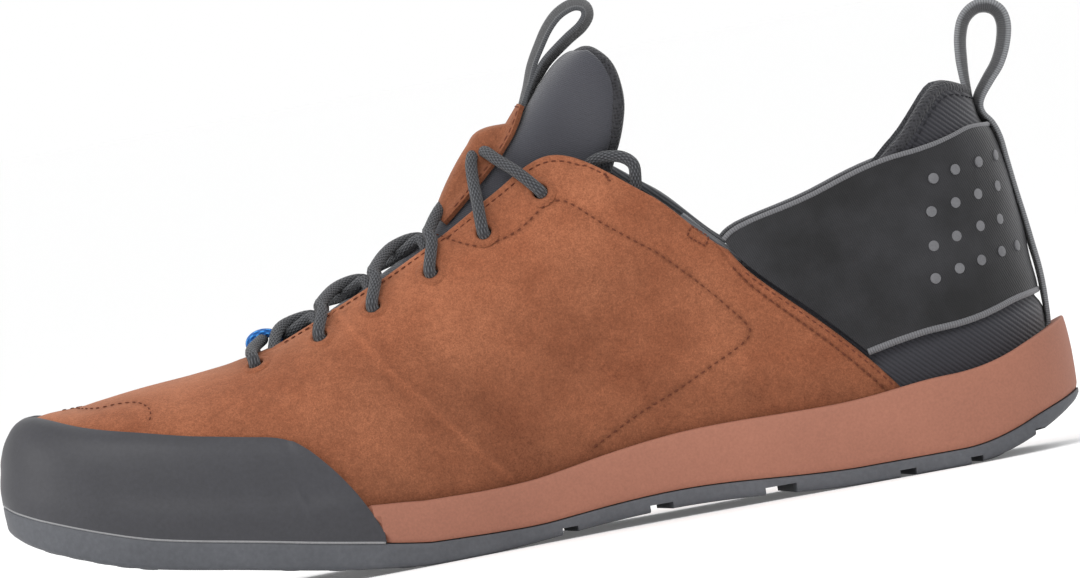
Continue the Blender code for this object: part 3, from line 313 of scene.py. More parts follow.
def edge_y(x, side, inset=0.0, heel_inset=None):
    """Place across of the sole's outline at x, drawn in by inset."""
    x = np.asarray(x, float)
    side = np.asarray(side)
    start = np.where(side < 0, MEDIAL_TOE_START, LATERAL_TOE_START)
    power = np.where(side < 0, MEDIAL_TOE_POWER, LATERAL_TOE_POWER)
    y = side * (outline_half(side, x / LENGTH) - inset)
    run = np.clip((x - start * LENGTH) / (LENGTH - inset - start * LENGTH), 0, 1)
    y = np.where(run > 0, -TOE_OFFSET + (y + TOE_OFFSET) * np.maximum(0.0, 1 - run**power) ** (1 / power), y)
    run = np.clip(1 - (x - (inset if heel_inset is None else heel_inset)) / HEEL_ROUND, 0, 1)
    return y * np.maximum(0.0, 1 - run**HEEL_POWER) ** (1 / HEEL_POWER)


def place_x(place, inset, heel_inset):
    """Distance from the heel of a place round the outline: 0 heel, 1 to 2 side, 3 toe."""
    place = np.asarray(place, float)
    toe_start = LATERAL_TOE_START * LENGTH
    side_start = heel_inset + HEEL_ROUND
    heel = heel_inset + HEEL_ROUND * (1 - np.cos(math.pi / 2 * place))
    side = side_start + (toe_start - side_start) * (place - 1)
    toe = toe_start + (LENGTH - inset - toe_start) * np.sin(math.pi / 2 * (place - 2))
    return np.where(place <= 1, heel, np.where(place <= 2, side, toe))


def x_place(x, inset, heel_inset):
    """The place round the outline that lies x in front of the heel."""
    x = np.asarray(x, float)
    toe_start = LATERAL_TOE_START * LENGTH
    side_start = heel_inset + HEEL_ROUND
    heel = np.arccos(np.clip(1 - (x - heel_inset) / HEEL_ROUND, -1, 1)) / (math.pi / 2)
    side = 1 + (x - side_start) / (toe_start - side_start)
    toe = 2 + np.arcsin(np.clip((x - toe_start) / (LENGTH - inset - toe_start), -1, 1)) / (math.pi / 2)
    return np.where(x <= side_start, heel, np.where(x <= toe_start, side, toe))


FORM_INSET = RAND_THICKNESS + 2 * GAP + CUP_WALL


def form_x(place):
    """Distance from the heel of a place round the form."""
    return place_x(place, FORM_INSET, HEEL_SETBACK)


def form_place(x):
    """The place round the form that lies x in front of the heel."""
    return x_place(x, FORM_INSET, HEEL_SETBACK)


def leaned(x, z):
    """Moves x as the heel's profile leans with its height."""
    reach = np.maximum(0.0, 1 - x / (LEAN_REACH * LENGTH))
    return x + HEEL_WIDTH * heel_lean(z / INSTEP_RISE) * reach**2


def form_at(place, angle):
    """The last's skin. place runs round the outline, negative on the inner side; angle climbs from 0 at the
    sole to 90 on the ridge, and on over it down the other side."""
    place, angle = np.broadcast_arrays(np.asarray(place, float), np.asarray(angle, float))
    over = angle > 90
    place, angle = np.where(over, -place, place), np.where(over, 180 - angle, angle)
    past = np.abs(place) > 3
    place = np.where(past, -np.copysign(6 - np.abs(place), place), place)
    side = np.where(place < 0, MEDIAL, LATERAL)
    x = form_x(np.abs(place))
    u = x / LENGTH
    power = square_power(u)
    up = np.sin(np.radians(np.maximum(angle, 0.0)))
    out = np.maximum(0.0, np.cos(np.radians(angle)))
    z = form_base(x) + form_height(x) * up**power
    foot = edge_y(x, side, FORM_INSET, HEEL_SETBACK)
    full = np.maximum(outline_half(side, u) - FORM_INSET, MM)
    fullness = np.minimum(1.0, np.abs(foot - ridge_y(x)) / full)
    crown = side * HEEL_WIDTH * crown_share(u) * fullness
    y = ridge_y(x) + crown + (foot - ridge_y(x) - crown) * out**power
    y = y + side * BALL_WIDTH * bulge_share(u) * fullness * 2 * up * out
    return world(leaned(x, z), y, z)


def unit(vectors):
    size = np.linalg.norm(vectors, axis=-1, keepdims=True)
    return vectors / np.maximum(size, 1e-12)


def form_normal(place, angle):
    """Unit normals of the last's skin, out of the shoe."""
    place, angle = np.broadcast_arrays(np.asarray(place, float), np.asarray(angle, float))
    low = np.maximum(angle - 0.5, 0.0)
    along = form_at(place + 0.01, angle) - form_at(place - 0.01, angle)
    up = form_at(place, low + 1.0) - form_at(place, low)
    normal = unit(np.cross(along, up))
    point = form_at(place, angle)
    x = np.clip(LENGTH / 2 - point[..., 0], 0.12 * LENGTH, 0.88 * LENGTH)
    core = world(x, ridge_y(x), form_base(x) + 0.3 * form_height(x))
    facing = np.sum(normal * (point - core), -1, keepdims=True)
    return np.where(facing > 0, normal, -normal)


def on_form(place, angle, lift):
    """Points lifted off the last's skin."""
    lift = np.asarray(lift, float)
    return form_at(place, angle) + form_normal(place, angle) * lift[..., None]


def angle_at(x, share):
    """Angle up the section where it has climbed a share of the form's height."""
    return np.degrees(np.arcsin(np.clip(share, 0, 1) ** (1 / square_power(x / LENGTH))))


def skin_point(x, share, side, lift):
    return on_form(side * form_place(x), angle_at(x, share), lift)


def top_angle(x):
    """Angle of the throat's and the collar's edge at x, or of the ridge in front of the throat."""
    x = np.asarray(x, float)
    return np.where(x < THROAT_FRONT * LENGTH, angle_at(x, edge_share(x / LENGTH)), 90.0)


def head_x(foot):
    """x of the head of the rib that starts at foot; ribs slant, and stand upright at the heel."""
    lean = rib_head(foot / LENGTH) * LENGTH - foot
    return foot + lean * np.clip((foot - HEEL_SETBACK) / (0.05 * LENGTH), 0, 1)


def rib_point(side, foot, part, lift):
    """Points of the upper's wall: foot is where the rib starts, part climbs it from 0 to 1."""
    x = np.maximum(foot + (head_x(foot) - foot) * part, HEEL_SETBACK)
    return on_form(side * form_place(x), top_angle(x) * part, lift)


def climbed_to(foot, share, count):
    """Where ribs have climbed a share of the form's height: x there, and the part of the way up."""
    lean = head_x(foot) - foot
    low, high = np.zeros(foot.shape), np.full(foot.shape, 1.6)
    for _ in range(count):
        part = (low + high) / 2
        x = np.maximum(foot + lean * part, HEEL_SETBACK)
        climbed = np.sin(np.radians(np.minimum(top_angle(x) * part, 90))) ** square_power(x / LENGTH)
        low, high = np.where(climbed < share, part, low), np.where(climbed < share, high, part)
    return x, part


def rib_at_share(side, foot, share, lift):
    """Points of ribs where they have climbed a share of the form's height."""
    foot, share = np.broadcast_arrays(np.asarray(foot, float), np.asarray(share, float))
    x, part = climbed_to(foot, share, 26)
    return on_form(side * form_place(x), np.minimum(top_angle(x) * part, 89.0), lift)


def band_share(foot, edge):
    """Share of the form's height where a band's edge crosses the rib that starts at foot."""
    foot = np.asarray(foot, float)
    share = np.full(foot.shape, 0.5)
    for _ in range(6):
        share = (band_bottom, band_top)[edge](climbed_to(foot, share, 24)[0] / LENGTH)
    return share


def ridge_point(station, lift):
    return on_form(form_place(station * LENGTH), 90.0, lift)


def eyelet(side, station, lift):
    """A point on the axis of an eyelet."""
    x = station * LENGTH
    place = side * form_place(x)
    turns = float(top_angle(x)) - np.arange(0, 60, 0.25)
    away = np.linalg.norm(form_at(place, turns) - form_at(place, turns[0]), axis=-1)
    return on_form(place, turns[int(np.argmax(away >= EYELET_BELOW_EDGE))], lift)


def smooth_path(points, steps=4):
    """Points of a smooth curve through the given ones."""
    points = [np.asarray(p, float) for p in points]
    ends = [points[0] * 2 - points[1]] + points + [points[-1] * 2 - points[-2]]
    path = []
    for i in range(1, len(ends) - 2):
        a, b, c, d = ends[i - 1 : i + 3]
        for j in range(steps):
            t = j / steps
            bend, twist = 2 * a - 5 * b + 4 * c - d, 3 * b - a - 3 * c + d
            path.append(0.5 * (2 * b + (c - a) * t + bend * t * t + twist * t**3))
    return np.array(path + [points[-1]])


def run_along(points, axis=0):
    """Distance of each point of a path, or of a grid's lines, from the first one."""
    run = np.linalg.norm(np.diff(points, axis=axis), axis=-1).cumsum(axis)
    return np.insert(run, 0, 0.0, axis=axis)


def resampled(path, step):
    """The path's points at even distances."""
    path = np.asarray(path, float)
    run = run_along(path)
    at = np.linspace(0, run[-1], max(2, int(round(run[-1] / step)) + 1))
    return np.stack([np.interp(at, run, path[:, k]) for k in range(3)], -1)


def spot(x_mm, z_mm, side=MEDIAL, lift=0.0):
    """A point of the skin from its place in the photograph, which shows near points a little low."""
    x_mm, z_mm = np.asarray(x_mm, float), np.asarray(z_mm, float)
    z = z_mm * MM
    for _ in range(3):
        x = x_mm * MM
        for _ in range(4):
            x = x_mm * MM - (leaned(x, z) - x)
        x = np.maximum(x, HEEL_SETBACK + 0.01 * MM)
        share = (z - form_base(x)) / form_height(x)
        y = skin_point(x, share, MEDIAL, 0.0)[..., 1]
        z = z_mm * MM - y * math.tan(math.radians(ELEVATION))
    share = (z - form_base(x)) / form_height(x)
    return skin_point(x, share, side, lift)


def on_skin(rows, side=MEDIAL, lift=0.0, step=1.0):
    """A smooth line on the skin through photograph places, its points step millimetres apart."""
    flat = smooth_path([(a, b, 0.0) for a, b in rows], 6)
    flat = resampled(flat, step)
    return spot(flat[:, 0], flat[:, 1], side, lift)


# Mesh making
MATERIALS = {}
SHIFT = np.zeros(3)


def mesh_object(name, vertices, faces, material, uv=None, smooth=True, merge=0.0, sharp=None):
    """A mesh object in the part's frame; uv gives a place in metres for every vertex."""
    mesh = bpy.data.meshes.new(name)
    vertices = np.asarray(vertices, float).reshape(-1, 3) + SHIFT
    mesh.from_pydata(vertices.tolist(), [], [list(map(int, f)) for f in faces])
    mesh.materials.append(MATERIALS[material])
    if uv is not None:
        layer_uv = mesh.uv_layers.new(name="run")
        corners = np.zeros(len(mesh.loops), np.int32)
        mesh.loops.foreach_get("vertex_index", corners)
        layer_uv.data.foreach_set("uv", np.asarray(uv, float).reshape(-1, 2)[corners].ravel())
    work = bmesh.new()
    work.from_mesh(mesh)
    if merge:
        bmesh.ops.remove_doubles(work, verts=work.verts, dist=merge)
    bmesh.ops.recalc_face_normals(work, faces=work.faces)
    work.to_mesh(mesh)
    work.free()
    if smooth:
        mesh.shade_smooth()
    if sharp:
        mesh.set_sharp_from_angle(angle=math.radians(sharp))
    made = bpy.data.objects.new(name, mesh)
    bpy.context.scene.collection.objects.link(made)
    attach(made, "root")
    return made


def grid_faces(rows, columns, start=0, closed=False):
    """Quads between the points of a grid; a closed one joins its last column to its first."""
    wide = columns if closed else columns - 1
    faces = []
    for i in range(rows - 1):
        for j in range(wide):
            k = (j + 1) % columns
            faces.append((start + i * columns + j, start + i * columns + k))
            faces[-1] += (start + (i + 1) * columns + k, start + (i + 1) * columns + j)
    return faces


def tube_faces(count, wide):
    """Faces of a tube through count rings of wide points, closed at both ends."""
    ends = [tuple(range(wide)), tuple(range((count - 1) * wide, count * wide))]
    return grid_faces(count, wide, closed=True) + ends


def tube_grid(path, radius, sides=14):
    """Vertices, faces and uv of a round tube along a path; radius may change along it."""
    path = np.asarray(path, float)
    count = len(path)
    radius = np.broadcast_to(radius, (count,))
    ahead = unit(np.gradient(path, axis=0))
    across = np.cross(ahead[0], (0.3, 0.9, 0.2))
    run = run_along(path)
    vertices, uv = [], []
    turns = np.arange(sides) * 2 * math.pi / sides
    for i in range(count):
        across = across - ahead[i] * across.dot(ahead[i])
        across = across / np.linalg.norm(across)
        other = np.cross(ahead[i], across)
        ring = np.cos(turns)[:, None] * across + np.sin(turns)[:, None] * other
        vertices.append(path[i] + ring * radius[i])
        uv.append(np.stack([np.full(sides, run[i]), turns * radius[i]], -1))
    return np.concatenate(vertices), tube_faces(count, sides), np.concatenate(uv)


def stacked(rings, lid=True):
    """Vertices, faces and uv of a body through rings of points, with a lid on the last ring or without."""
    count, wide = len(rings), len(rings[0])
    faces = grid_faces(count, wide, closed=True)
    if lid:
        faces.append(tuple(range((count - 1) * wide, count * wide)))
    return np.concatenate(rings), faces, np.zeros((count * wide, 2))


def together(parts):
    """Joins the vertices, faces and uv of several parts."""
    vertices, faces, uv, start = [], [], [], 0
    for more, sides, places_uv in parts:
        faces += [tuple(start + k for k in side) for side in sides]
        vertices.append(more)
        uv.append(places_uv)
        start += len(more)
    return np.concatenate(vertices), faces, np.concatenate(uv)


def tubes(name, paths, radius, material, sides=14):
    """One piece of round tubes along paths."""
    vertices, faces, uv = together([tube_grid(path, radius, sides) for path in paths])
    return mesh_object(name, vertices, faces, material, uv)


def thick_sheet(outer, inner):
    """Vertices, faces and uv of a sheet with rounded rims: outer and inner points joined all round."""
    rows, columns = outer.shape[:2]
    vertices = np.concatenate([outer.reshape(-1, 3), inner.reshape(-1, 3)])
    shift = rows * columns
    faces = grid_faces(rows, columns) + grid_faces(rows, columns, shift)
    rim = list(range(columns)) + [i * columns + columns - 1 for i in range(1, rows)]
    rim += [(rows - 1) * columns + j for j in range(columns - 2, -1, -1)]
    rim += [i * columns for i in range(rows - 2, 0, -1)]
    faces += [(a, b, b + shift, a + shift) for a, b in zip(rim, rim[1:] + rim[:1])]
    uv = np.stack([run_along(outer), run_along(outer, 1)], -1).reshape(-1, 2)
    return vertices, faces, np.concatenate([uv, uv])


def applied(made):
    """Turns a piece's modifiers into its mesh."""
    graph = bpy.context.evaluated_depsgraph_get()
    mesh = bpy.data.meshes.new_from_object(made.evaluated_get(graph))
    made.modifiers.clear()
    made.data = mesh
    return mesh


def rounded(made, levels=1):
    """Gives a piece a subdivision surface, applied."""
    modifier = made.modifiers.new("round", "SUBSURF")
    modifier.levels = modifier.render_levels = levels
    applied(made).shade_smooth()
    return made


def stitches(name, lines, material="thread", length=2.1, gap=0.9, radius=0.3):
    """Rows of stitches: each a short thread that dips into the material at both ends."""
    parts = []
    for line in lines:
        line = np.asarray(line, float)
        run = run_along(line)
        count = int(run[-1] / ((length + gap) * MM))
        for k in range(count):
            at = (k * (length + gap) + np.linspace(0, length, 5)) * MM
            path = np.stack([np.interp(at, run, line[:, a]) for a in range(3)], -1)
            parts.append(tube_grid(path, radius * MM * np.array([0.35, 0.9, 1.0, 0.9, 0.35]), 6))
    vertices, faces, uv = together(parts)
    return mesh_object(name, vertices, faces, material, uv)


# Materials
def new_material(name, colour, roughness=0.7, specular=0.4, sheen=0.0, sheen_colour=(1, 1, 1)):
    """A plain material."""
    made = bpy.data.materials.new(name)
    made.use_nodes = True
    tree = made.node_tree
    shader = tree.nodes["Principled BSDF"]
    shader.inputs["Base Color"].default_value = (*colour, 1)
    shader.inputs["Roughness"].default_value = roughness
    shader.inputs["Specular IOR Level"].default_value = specular
    shader.inputs["Sheen Weight"].default_value = sheen
    shader.inputs["Sheen Tint"].default_value = (*sheen_colour, 1)
    made.diffuse_color = (*colour, 1)
    MATERIALS[name] = made
    return made


def add_node(tree, kind, **values):
    node = tree.nodes.new(kind)
    for key, value in values.items():
        if key in node.inputs:
            node.inputs[key].default_value = value
        else:
            setattr(node, key, value)
    return node


def coordinates(tree, use_uv=False):
    return add_node(tree, "ShaderNodeTexCoord").outputs["UV" if use_uv else "Object"]


def noise(tree, source, scale, detail=4.0, rough=0.55):
    node = add_node(tree, "ShaderNodeTexNoise", Scale=scale, Detail=detail, Roughness=rough)
    tree.links.new(source, node.inputs["Vector"])
    return node.outputs["Fac"]


def ramp(tree, source, low, high, dark, light):
    """Turns a value between low and high into a colour between dark and light."""
    node = tree.nodes.new("ShaderNodeValToRGB")
    node.color_ramp.elements[0].position = low
    node.color_ramp.elements[1].position = high
    node.color_ramp.elements[0].color = (*dark, 1)
    node.color_ramp.elements[1].color = (*light, 1)
    tree.links.new(source, node.inputs["Fac"])
    return node.outputs["Color"]


def fill(tree, node, values):
    """Links or sets a node's inputs, given by their numbers."""
    for number, value in values.items():
        if isinstance(value, bpy.types.NodeSocket):
            tree.links.new(value, node.inputs[number])
        else:
            node.inputs[number].default_value = (*value, 1) if isinstance(value, tuple) else value


def blended(tree, mode, amount, first, second):
    node = add_node(tree, "ShaderNodeMix", data_type="RGBA", blend_type=mode)
    fill(tree, node, {0: amount, 6: first, 7: second})
    return node.outputs[2]


def maths(tree, operation, first, second):
    node = add_node(tree, "ShaderNodeMath", operation=operation)
    fill(tree, node, {0: first, 1: second})
    return node.outputs[0]


def turned(tree, source, around, degrees):
    """Coordinates turned about the y or z axis."""
    angle = math.radians(degrees)
    node = add_node(tree, "ShaderNodeMapping", Rotation=(0, angle, 0) if around == "y" else (0, 0, angle))
    tree.links.new(source, node.inputs["Vector"])
    return node.outputs[0]


# A wave texture of scale 1 has a rib every 0.314 metres
WAVE_PERIOD = 0.314


def ribs(tree, source, period, **more):
    """Height of ribs that lie a period in millimetres apart."""
    node = add_node(tree, "ShaderNodeTexWave", Scale=WAVE_PERIOD / period / MM, **more)
    tree.links.new(source, node.inputs["Vector"])
    return node.outputs["Fac"]


def bumps(made, layers):
    """Chains bump nodes: each layer is a height, a strength and a distance in millimetres."""
    tree = made.node_tree
    last = None
    for height, strength, distance in layers:
        node = add_node(tree, "ShaderNodeBump", Strength=strength, Distance=distance * MM)
        tree.links.new(height, node.inputs["Height"])
        if last:
            tree.links.new(last, node.inputs["Normal"])
        last = node.outputs["Normal"]
    tree.links.new(last, tree.nodes["Principled BSDF"].inputs["Normal"])


def colour_to(made, source):
    """Drives a material's colour."""
    made.node_tree.links.new(source, made.node_tree.nodes["Principled BSDF"].inputs["Base Color"])


def roughness_to(made, source, low, high):
    """Drives a material's roughness between two values."""
    tree = made.node_tree
    node = add_node(tree, "ShaderNodeMapRange")
    node.inputs["To Min"].default_value, node.inputs["To Max"].default_value = low, high
    tree.links.new(source, node.inputs["Value"])
    tree.links.new(node.outputs[0], tree.nodes["Principled BSDF"].inputs["Roughness"])


def make_suede(name, shade_and_tone=True, shade=1.0):
    """Suede with clouds, specks and hairs; it can multiply in a vertex colour of painted shade and light, and
    random tone.
    """
    made = new_material(name, (0.42, 0.155, 0.07), 0.92, 0.18, 0.25, (0.95, 0.55, 0.38))
    tree = made.node_tree
    place = coordinates(tree)
    broad = noise(tree, place, 34, 5, 0.6)
    nap = noise(tree, place, 420, 5, 0.7)
    speck = noise(tree, place, 2600, 3, 0.8)
    base = ramp(tree, broad, 0.34, 0.68, (0.235, 0.078, 0.037), (0.330, 0.123, 0.062))
    clouds = ramp(tree, nap, 0.35, 0.65, (0.72, 0.68, 0.66), (1.12, 1.12, 1.12))
    base = blended(tree, "MULTIPLY", 0.5, base, clouds)
    specks = ramp(tree, speck, 0.36, 0.62, (0.55, 0.5, 0.48), (1.2, 1.2, 1.2))
    base = blended(tree, "MULTIPLY", 0.55, base, specks)
    nap = noise(tree, coordinates(tree), 1500, 3, 0.7)
    hairs = ramp(tree, nap, 0.36, 0.64, (0.86, 0.85, 0.84), (1.12, 1.12, 1.12))
    base = blended(tree, "MULTIPLY", 1.0, base, hairs)
    if shade < 1:
        base = blended(tree, "MULTIPLY", 1.0, base, (shade, shade, shade))
    # The vertex colour holds painted shade and painted highlights as well as random tone.
    if shade_and_tone:
        attribute = add_node(tree, "ShaderNodeAttribute", attribute_name="shade_and_tone")
        base = blended(tree, "MULTIPLY", 1.0, base, attribute.outputs["Color"])
    colour_to(made, base)
    roughness_to(made, nap, 0.82, 1.0)
    bumps(made, [(broad, 0.25, 1.2), (nap, 0.35, 0.35), (speck, 0.5, 0.12)])


def make_fabric(name, dark, light, weave, roughness=0.85, sheen=0.2, depth=0.25, angle=45, mix=0.6):
    """A woven cloth: diagonal ribs of the given period in millimetres over fine noise."""
    made = new_material(name, light, roughness, 0.25, sheen)
    tree = made.node_tree
    place = coordinates(tree)
    woven = ribs(tree, turned(tree, place, "y", angle), weave, Distortion=0.6, **{"Detail Scale": 2.0})
    fine = noise(tree, place, 2200, 2)
    height = maths(tree, "ADD", woven, maths(tree, "MULTIPLY", fine, 0.7))
    colour_to(made, blended(tree, "MIX", mix, light, ramp(tree, height, 0.3, 1.2, dark, light)))
    bumps(made, [(height, 0.6, depth)])


def make_mesh_cloth(name, dark, light, cell):
    """An open knitted mesh with round holes."""
    made = new_material(name, light, 0.85, 0.3, 0.2)
    tree = made.node_tree
    place = coordinates(tree)
    cells = add_node(tree, "ShaderNodeTexVoronoi", Scale=1 / cell / MM, Randomness=0.35)
    tree.links.new(place, cells.inputs["Vector"])
    colour_to(made, ramp(tree, cells.outputs["Distance"], 0.12, 0.5, dark, light))
    bumps(made, [(cells.outputs["Distance"], 0.9, 0.5), (noise(tree, place, 2500, 2), 0.4, 0.12)])


def make_strap_cloth(name, dark, light, rib, wide=5.0):
    """Ribbed webbing: its ribs run across, read from the strap's own length."""
    made = new_material(name, light, 0.8, 0.3, 0.2)
    tree = made.node_tree
    place = coordinates(tree, True)
    yarn = ribs(tree, place, 0.8 * rib, bands_direction="Y")
    height = maths(tree, "MULTIPLY", ribs(tree, place, rib, Distortion=0.3), maths(tree, "ADD", yarn, 0.6))
    split = tree.nodes.new("ShaderNodeSeparateXYZ")
    tree.links.new(place, split.inputs[0])
    border = maths(tree, "MULTIPLY", maths(tree, "ABSOLUTE", split.outputs[1], 0.0), 1 / wide / MM)
    tint = ramp(tree, border, 0.62, 0.86, dark, light)
    ribbed = ramp(tree, height, 0.0, 1.1, (0.62, 0.62, 0.62), (1.15, 1.15, 1.15))
    colour_to(made, blended(tree, "MULTIPLY", 1.0, tint, ribbed))
    bumps(made, [(height, 0.45, 0.15)])


def make_cord(name, dark, light, period, share):
    """A braided cord: two sets of slanting yarns, some of them lighter."""
    made = new_material(name, dark, 0.8, 0.3, 0.15)
    tree = made.node_tree
    place = coordinates(tree, True)
    yarns = [ribs(tree, turned(tree, place, "z", slant), period, Distortion=0.2) for slant in (66, -66)]
    height, cross = maths(tree, "MAXIMUM", *yarns), maths(tree, "MULTIPLY", *yarns)
    base = ramp(tree, cross, share, share + 0.3, dark, light)
    weave = ramp(tree, height, 0.3, 1.0, (0.5, 0.5, 0.5), (1.1, 1.1, 1.1))
    base = blended(tree, "MULTIPLY", 0.7, base, weave)
    colour_to(made, base)
    bumps(made, [(height, 0.9, 0.35)])


def make_rubber(name, dark, light, roughness, grain=900, depth=0.08, scuff=0.1):
    """Rubber or foam with broad and fine unevenness."""
    made = new_material(name, light, roughness, 0.45)
    tree = made.node_tree
    place = coordinates(tree)
    broad = noise(tree, place, 26, 6, 0.62)
    fine = noise(tree, place, grain, 4, 0.6)
    base = ramp(tree, broad, 0.3, 0.7, dark, light)
    specks = ramp(tree, fine, 0.35, 0.7, (1 - scuff, 1 - scuff, 1 - scuff), (1 + scuff, 1 + scuff, 1 + scuff))
    colour_to(made, blended(tree, "MULTIPLY", 1.0, base, specks))
    roughness_to(made, broad, roughness - 0.1, roughness + 0.12)
    bumps(made, [(broad, 0.15, 0.8), (fine, 0.35, depth)])


make_suede("suede")
make_suede("suede_plain", False, 0.8)
make_suede("suede_rim", False)
make_fabric("twill", (0.009, 0.009, 0.011), (0.030, 0.030, 0.037), 1.1, 0.85, 0.25, 0.3)
make_fabric("stretch", (0.006, 0.006, 0.007), (0.016, 0.016, 0.018), 0.55, 0.45, 0.06, 0.12, 20)
stretch = MATERIALS["stretch"]
shine = stretch.node_tree
# Painted sheen: broad light and dark patches in the satin band's colour.
painted_sheen = ramp(shine, noise(shine, coordinates(shine), 30, 4, 0.6), 0.35, 0.68, (0.6, 0.6, 0.6), (2.1, 2.1, 2.1))
plain = shine.nodes["Principled BSDF"].inputs["Base Color"].links[0].from_socket
colour_to(stretch, blended(shine, "MULTIPLY", 1.0, plain, painted_sheen))
make_fabric("microfibre", (0.024, 0.025, 0.031), (0.056, 0.057, 0.068), 0.5, 0.9, 0.35, 0.12, 60, 0.5)
make_fabric("lining", (0.03, 0.031, 0.036), (0.10, 0.103, 0.112), 0.9, 0.92, 0.3, 0.25)
make_fabric("insole_cloth", (0.04, 0.042, 0.048), (0.12, 0.122, 0.13), 1.3, 0.9, 0.3, 0.3, 0)
make_mesh_cloth("mesh_edge", (0.005, 0.005, 0.006), (0.032, 0.032, 0.037), 0.85)
make_strap_cloth("strap", (0.045, 0.046, 0.052), (0.20, 0.205, 0.215), 0.6)
make_strap_cloth("tongue_strap", (0.016, 0.017, 0.020), (0.075, 0.078, 0.084), 0.6, wide=4.0)
make_strap_cloth("piping", (0.15, 0.15, 0.16), (0.18, 0.184, 0.195), 0.7)
make_cord("lace", (0.040, 0.042, 0.047), (0.098, 0.101, 0.110), 0.8, 0.3)
make_cord("blue_lace", (0.01, 0.12, 0.42), (0.05, 0.30, 0.75), 1.2, 0.4)
make_rubber("rand", (0.025, 0.025, 0.030), (0.038, 0.038, 0.045), 0.5)
make_rubber("tread", (0.062, 0.065, 0.074), (0.092, 0.096, 0.108), 0.62, 700, 0.12)
make_rubber("foam", (0.275, 0.108, 0.068), (0.325, 0.132, 0.085), 0.72, 1500, 0.06, 0.08)
make_rubber("dots", (0.10, 0.10, 0.108), (0.17, 0.17, 0.18), 0.5, 2000, 0.05)
make_rubber("glue", (0.20, 0.20, 0.205), (0.27, 0.27, 0.275), 0.6, 1500, 0.05)
new_material("thread", (0.12, 0.036, 0.020), 0.8, 0.2)
new_material("thread_dark", (0.02, 0.02, 0.024), 0.8, 0.2)

# The solids' makers centre the shoe across; the shift is read back from the outsole
row = np.linspace(0.001, LENGTH - 0.001, 2000)
SHIFT = np.array([0.0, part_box("outsole")[0].y - float(edge_y(row, MEDIAL).min()), 0.0])

# Photograph lines on the inner side, in millimetres in front of the heel and above the ground
DART = (
    (163.5, 86.7), (157.7, 83.4), (152.6, 81.4), (147.0, 82.0), (141.1, 83.9), (134.8, 88.0), (132.4, 89.2),
    (129.0, 89.6), (125.3, 87.4), (119.4, 81.9), (109.8, 74.0), (105.0, 70.1), (95.8, 60.4), (89.0, 52.2),
    (85.7, 47.7), (85.1, 44.9), (88.0, 42.4), (95.6, 38.8), (106.2, 33.9), (118.1, 29.2), (127.2, 24.8),
    (133.3, 21.8),
)
VAMP_SEAM = ((194.4, 71.5), (189.0, 63.6), (180.4, 50.4), (173.7, 41.7), (164.8, 30.1), (155.5, 18.2))

TOE_STITCH = (
    (271.7, 61.2), (268.6, 58.5), (262.0, 57.2), (256.4, 57.3), (251.0, 56.8), (248.0, 54.9), (247.7, 52.4),
    (249.6, 49.4),
)

BAND_DOTS = (
    (28.9, 77.0), (22.6, 78.3), (15.8, 79.2), (10.7, 80.2), (31.1, 68.3), (24.2, 69.5), (17.7, 70.7),
    (11.9, 71.9), (32.2, 59.1), (25.6, 60.6), (18.7, 62.1), (13.0, 63.0), (33.3, 50.4), (26.4, 51.9),
    (20.1, 53.0), (14.1, 54.3), (9.5, 55.1),
)

HEEL_STRAP = (
    (5.4, 31.6), (4.7, 34.0), (4.5, 42.4), (4.7, 48.6), (5.4, 55.0), (6.3, 62.8), (7.3, 70.4), (8.2, 78.5),
    (8.9, 84.6), (10.3, 88.8), (12.3, 91.6), (12.9, 94.2), (11.8, 97.1), (8.8, 100.9), (5.6, 104.7),
    (3.3, 109.3), (2.0, 114.4), (2.6, 118.2), (5.1, 120.4), (8.8, 120.6), (12.2, 118.2), (14.1, 113.8),
    (14.9, 108.3), (15.1, 102.7), (14.9, 97.6), (14.7, 94.6),
)

TONGUE_STRAP = (
    (135.6, 114.6), (133.7, 118.4), (132.0, 121.8), (129.8, 127.0), (127.0, 131.7), (123.8, 136.3),
    (120.2, 139.6), (115.9, 141.2), (112.9, 140.2), (112.5, 137.6), (114.7, 134.9), (118.4, 132.6),
    (122.2, 130.0), (125.8, 127.2), (129.0, 123.6), (131.6, 120.2), (134.0, 115.8),
)


def line_distance(points, line):
    """Distance of points from a line of points, both in the plane of length and height."""
    best = np.full(points.shape[:-1], 1.0)
    flat, line = points[..., (0, 2)], line[:, (0, 2)]
    for a, b in zip(line[:-1], line[1:]):
        run = b - a
        t = np.clip(((flat - a) @ run) / max(run @ run, 1e-12), 0, 1)
        best = np.minimum(best, np.linalg.norm(flat - a - t[..., None] * run, axis=-1))
    return best


def ridge(distance, width):
    """A smooth bump that is 1 at no distance and fades over width millimetres."""
    return np.exp(-((distance / (width * MM)) ** 2))


def wobble(points, size, seed):
    """Smooth seeded unevenness between -1 and 1, with features about size millimetres across."""
    rng = np.random.default_rng(seed)
    total = np.zeros(points.shape[:-1])
    for _ in range(7):
        way = unit(rng.normal(size=3)) * rng.uniform(0.6, 1.6) * 2 * math.pi / (size * MM)
        total += np.sin(points @ way + rng.uniform(0, 6.3))
    return total / 4


SKIN_COLUMNS, SKIN_ROWS = 276, 96
# Round an eyelet the skin is pushed out of the hole, as far as the reach; nearer than the core it is cut
HOLE_REACH = 3.6 * MM
HOLE_CORE = 0.75 * MM
LINING_HOLE = 4.2 * MM


def skin_grid(side):
    """Distances from the heel, points and normals of the suede's grid on one side, from counter to toe."""
    first = float(form_place(COUNTER_FOOT * LENGTH))
    bend = float(form_place(LATERAL_TOE_START * LENGTH))
    behind = SKIN_COLUMNS * 2 // 3
    along = np.linspace(first, bend, behind, endpoint=False)
    along = np.concatenate([along, np.linspace(bend, 3, SKIN_COLUMNS - behind)])
    foot = form_x(along)[:, None]
    part = np.linspace(0, 1, SKIN_ROWS)[None, :]
    x = np.maximum(foot + (head_x(foot) - foot) * part, HEEL_SETBACK)
    place = side * form_place(x)
    angle = top_angle(x) * part
    return x, form_at(place, angle), form_normal(place, angle)


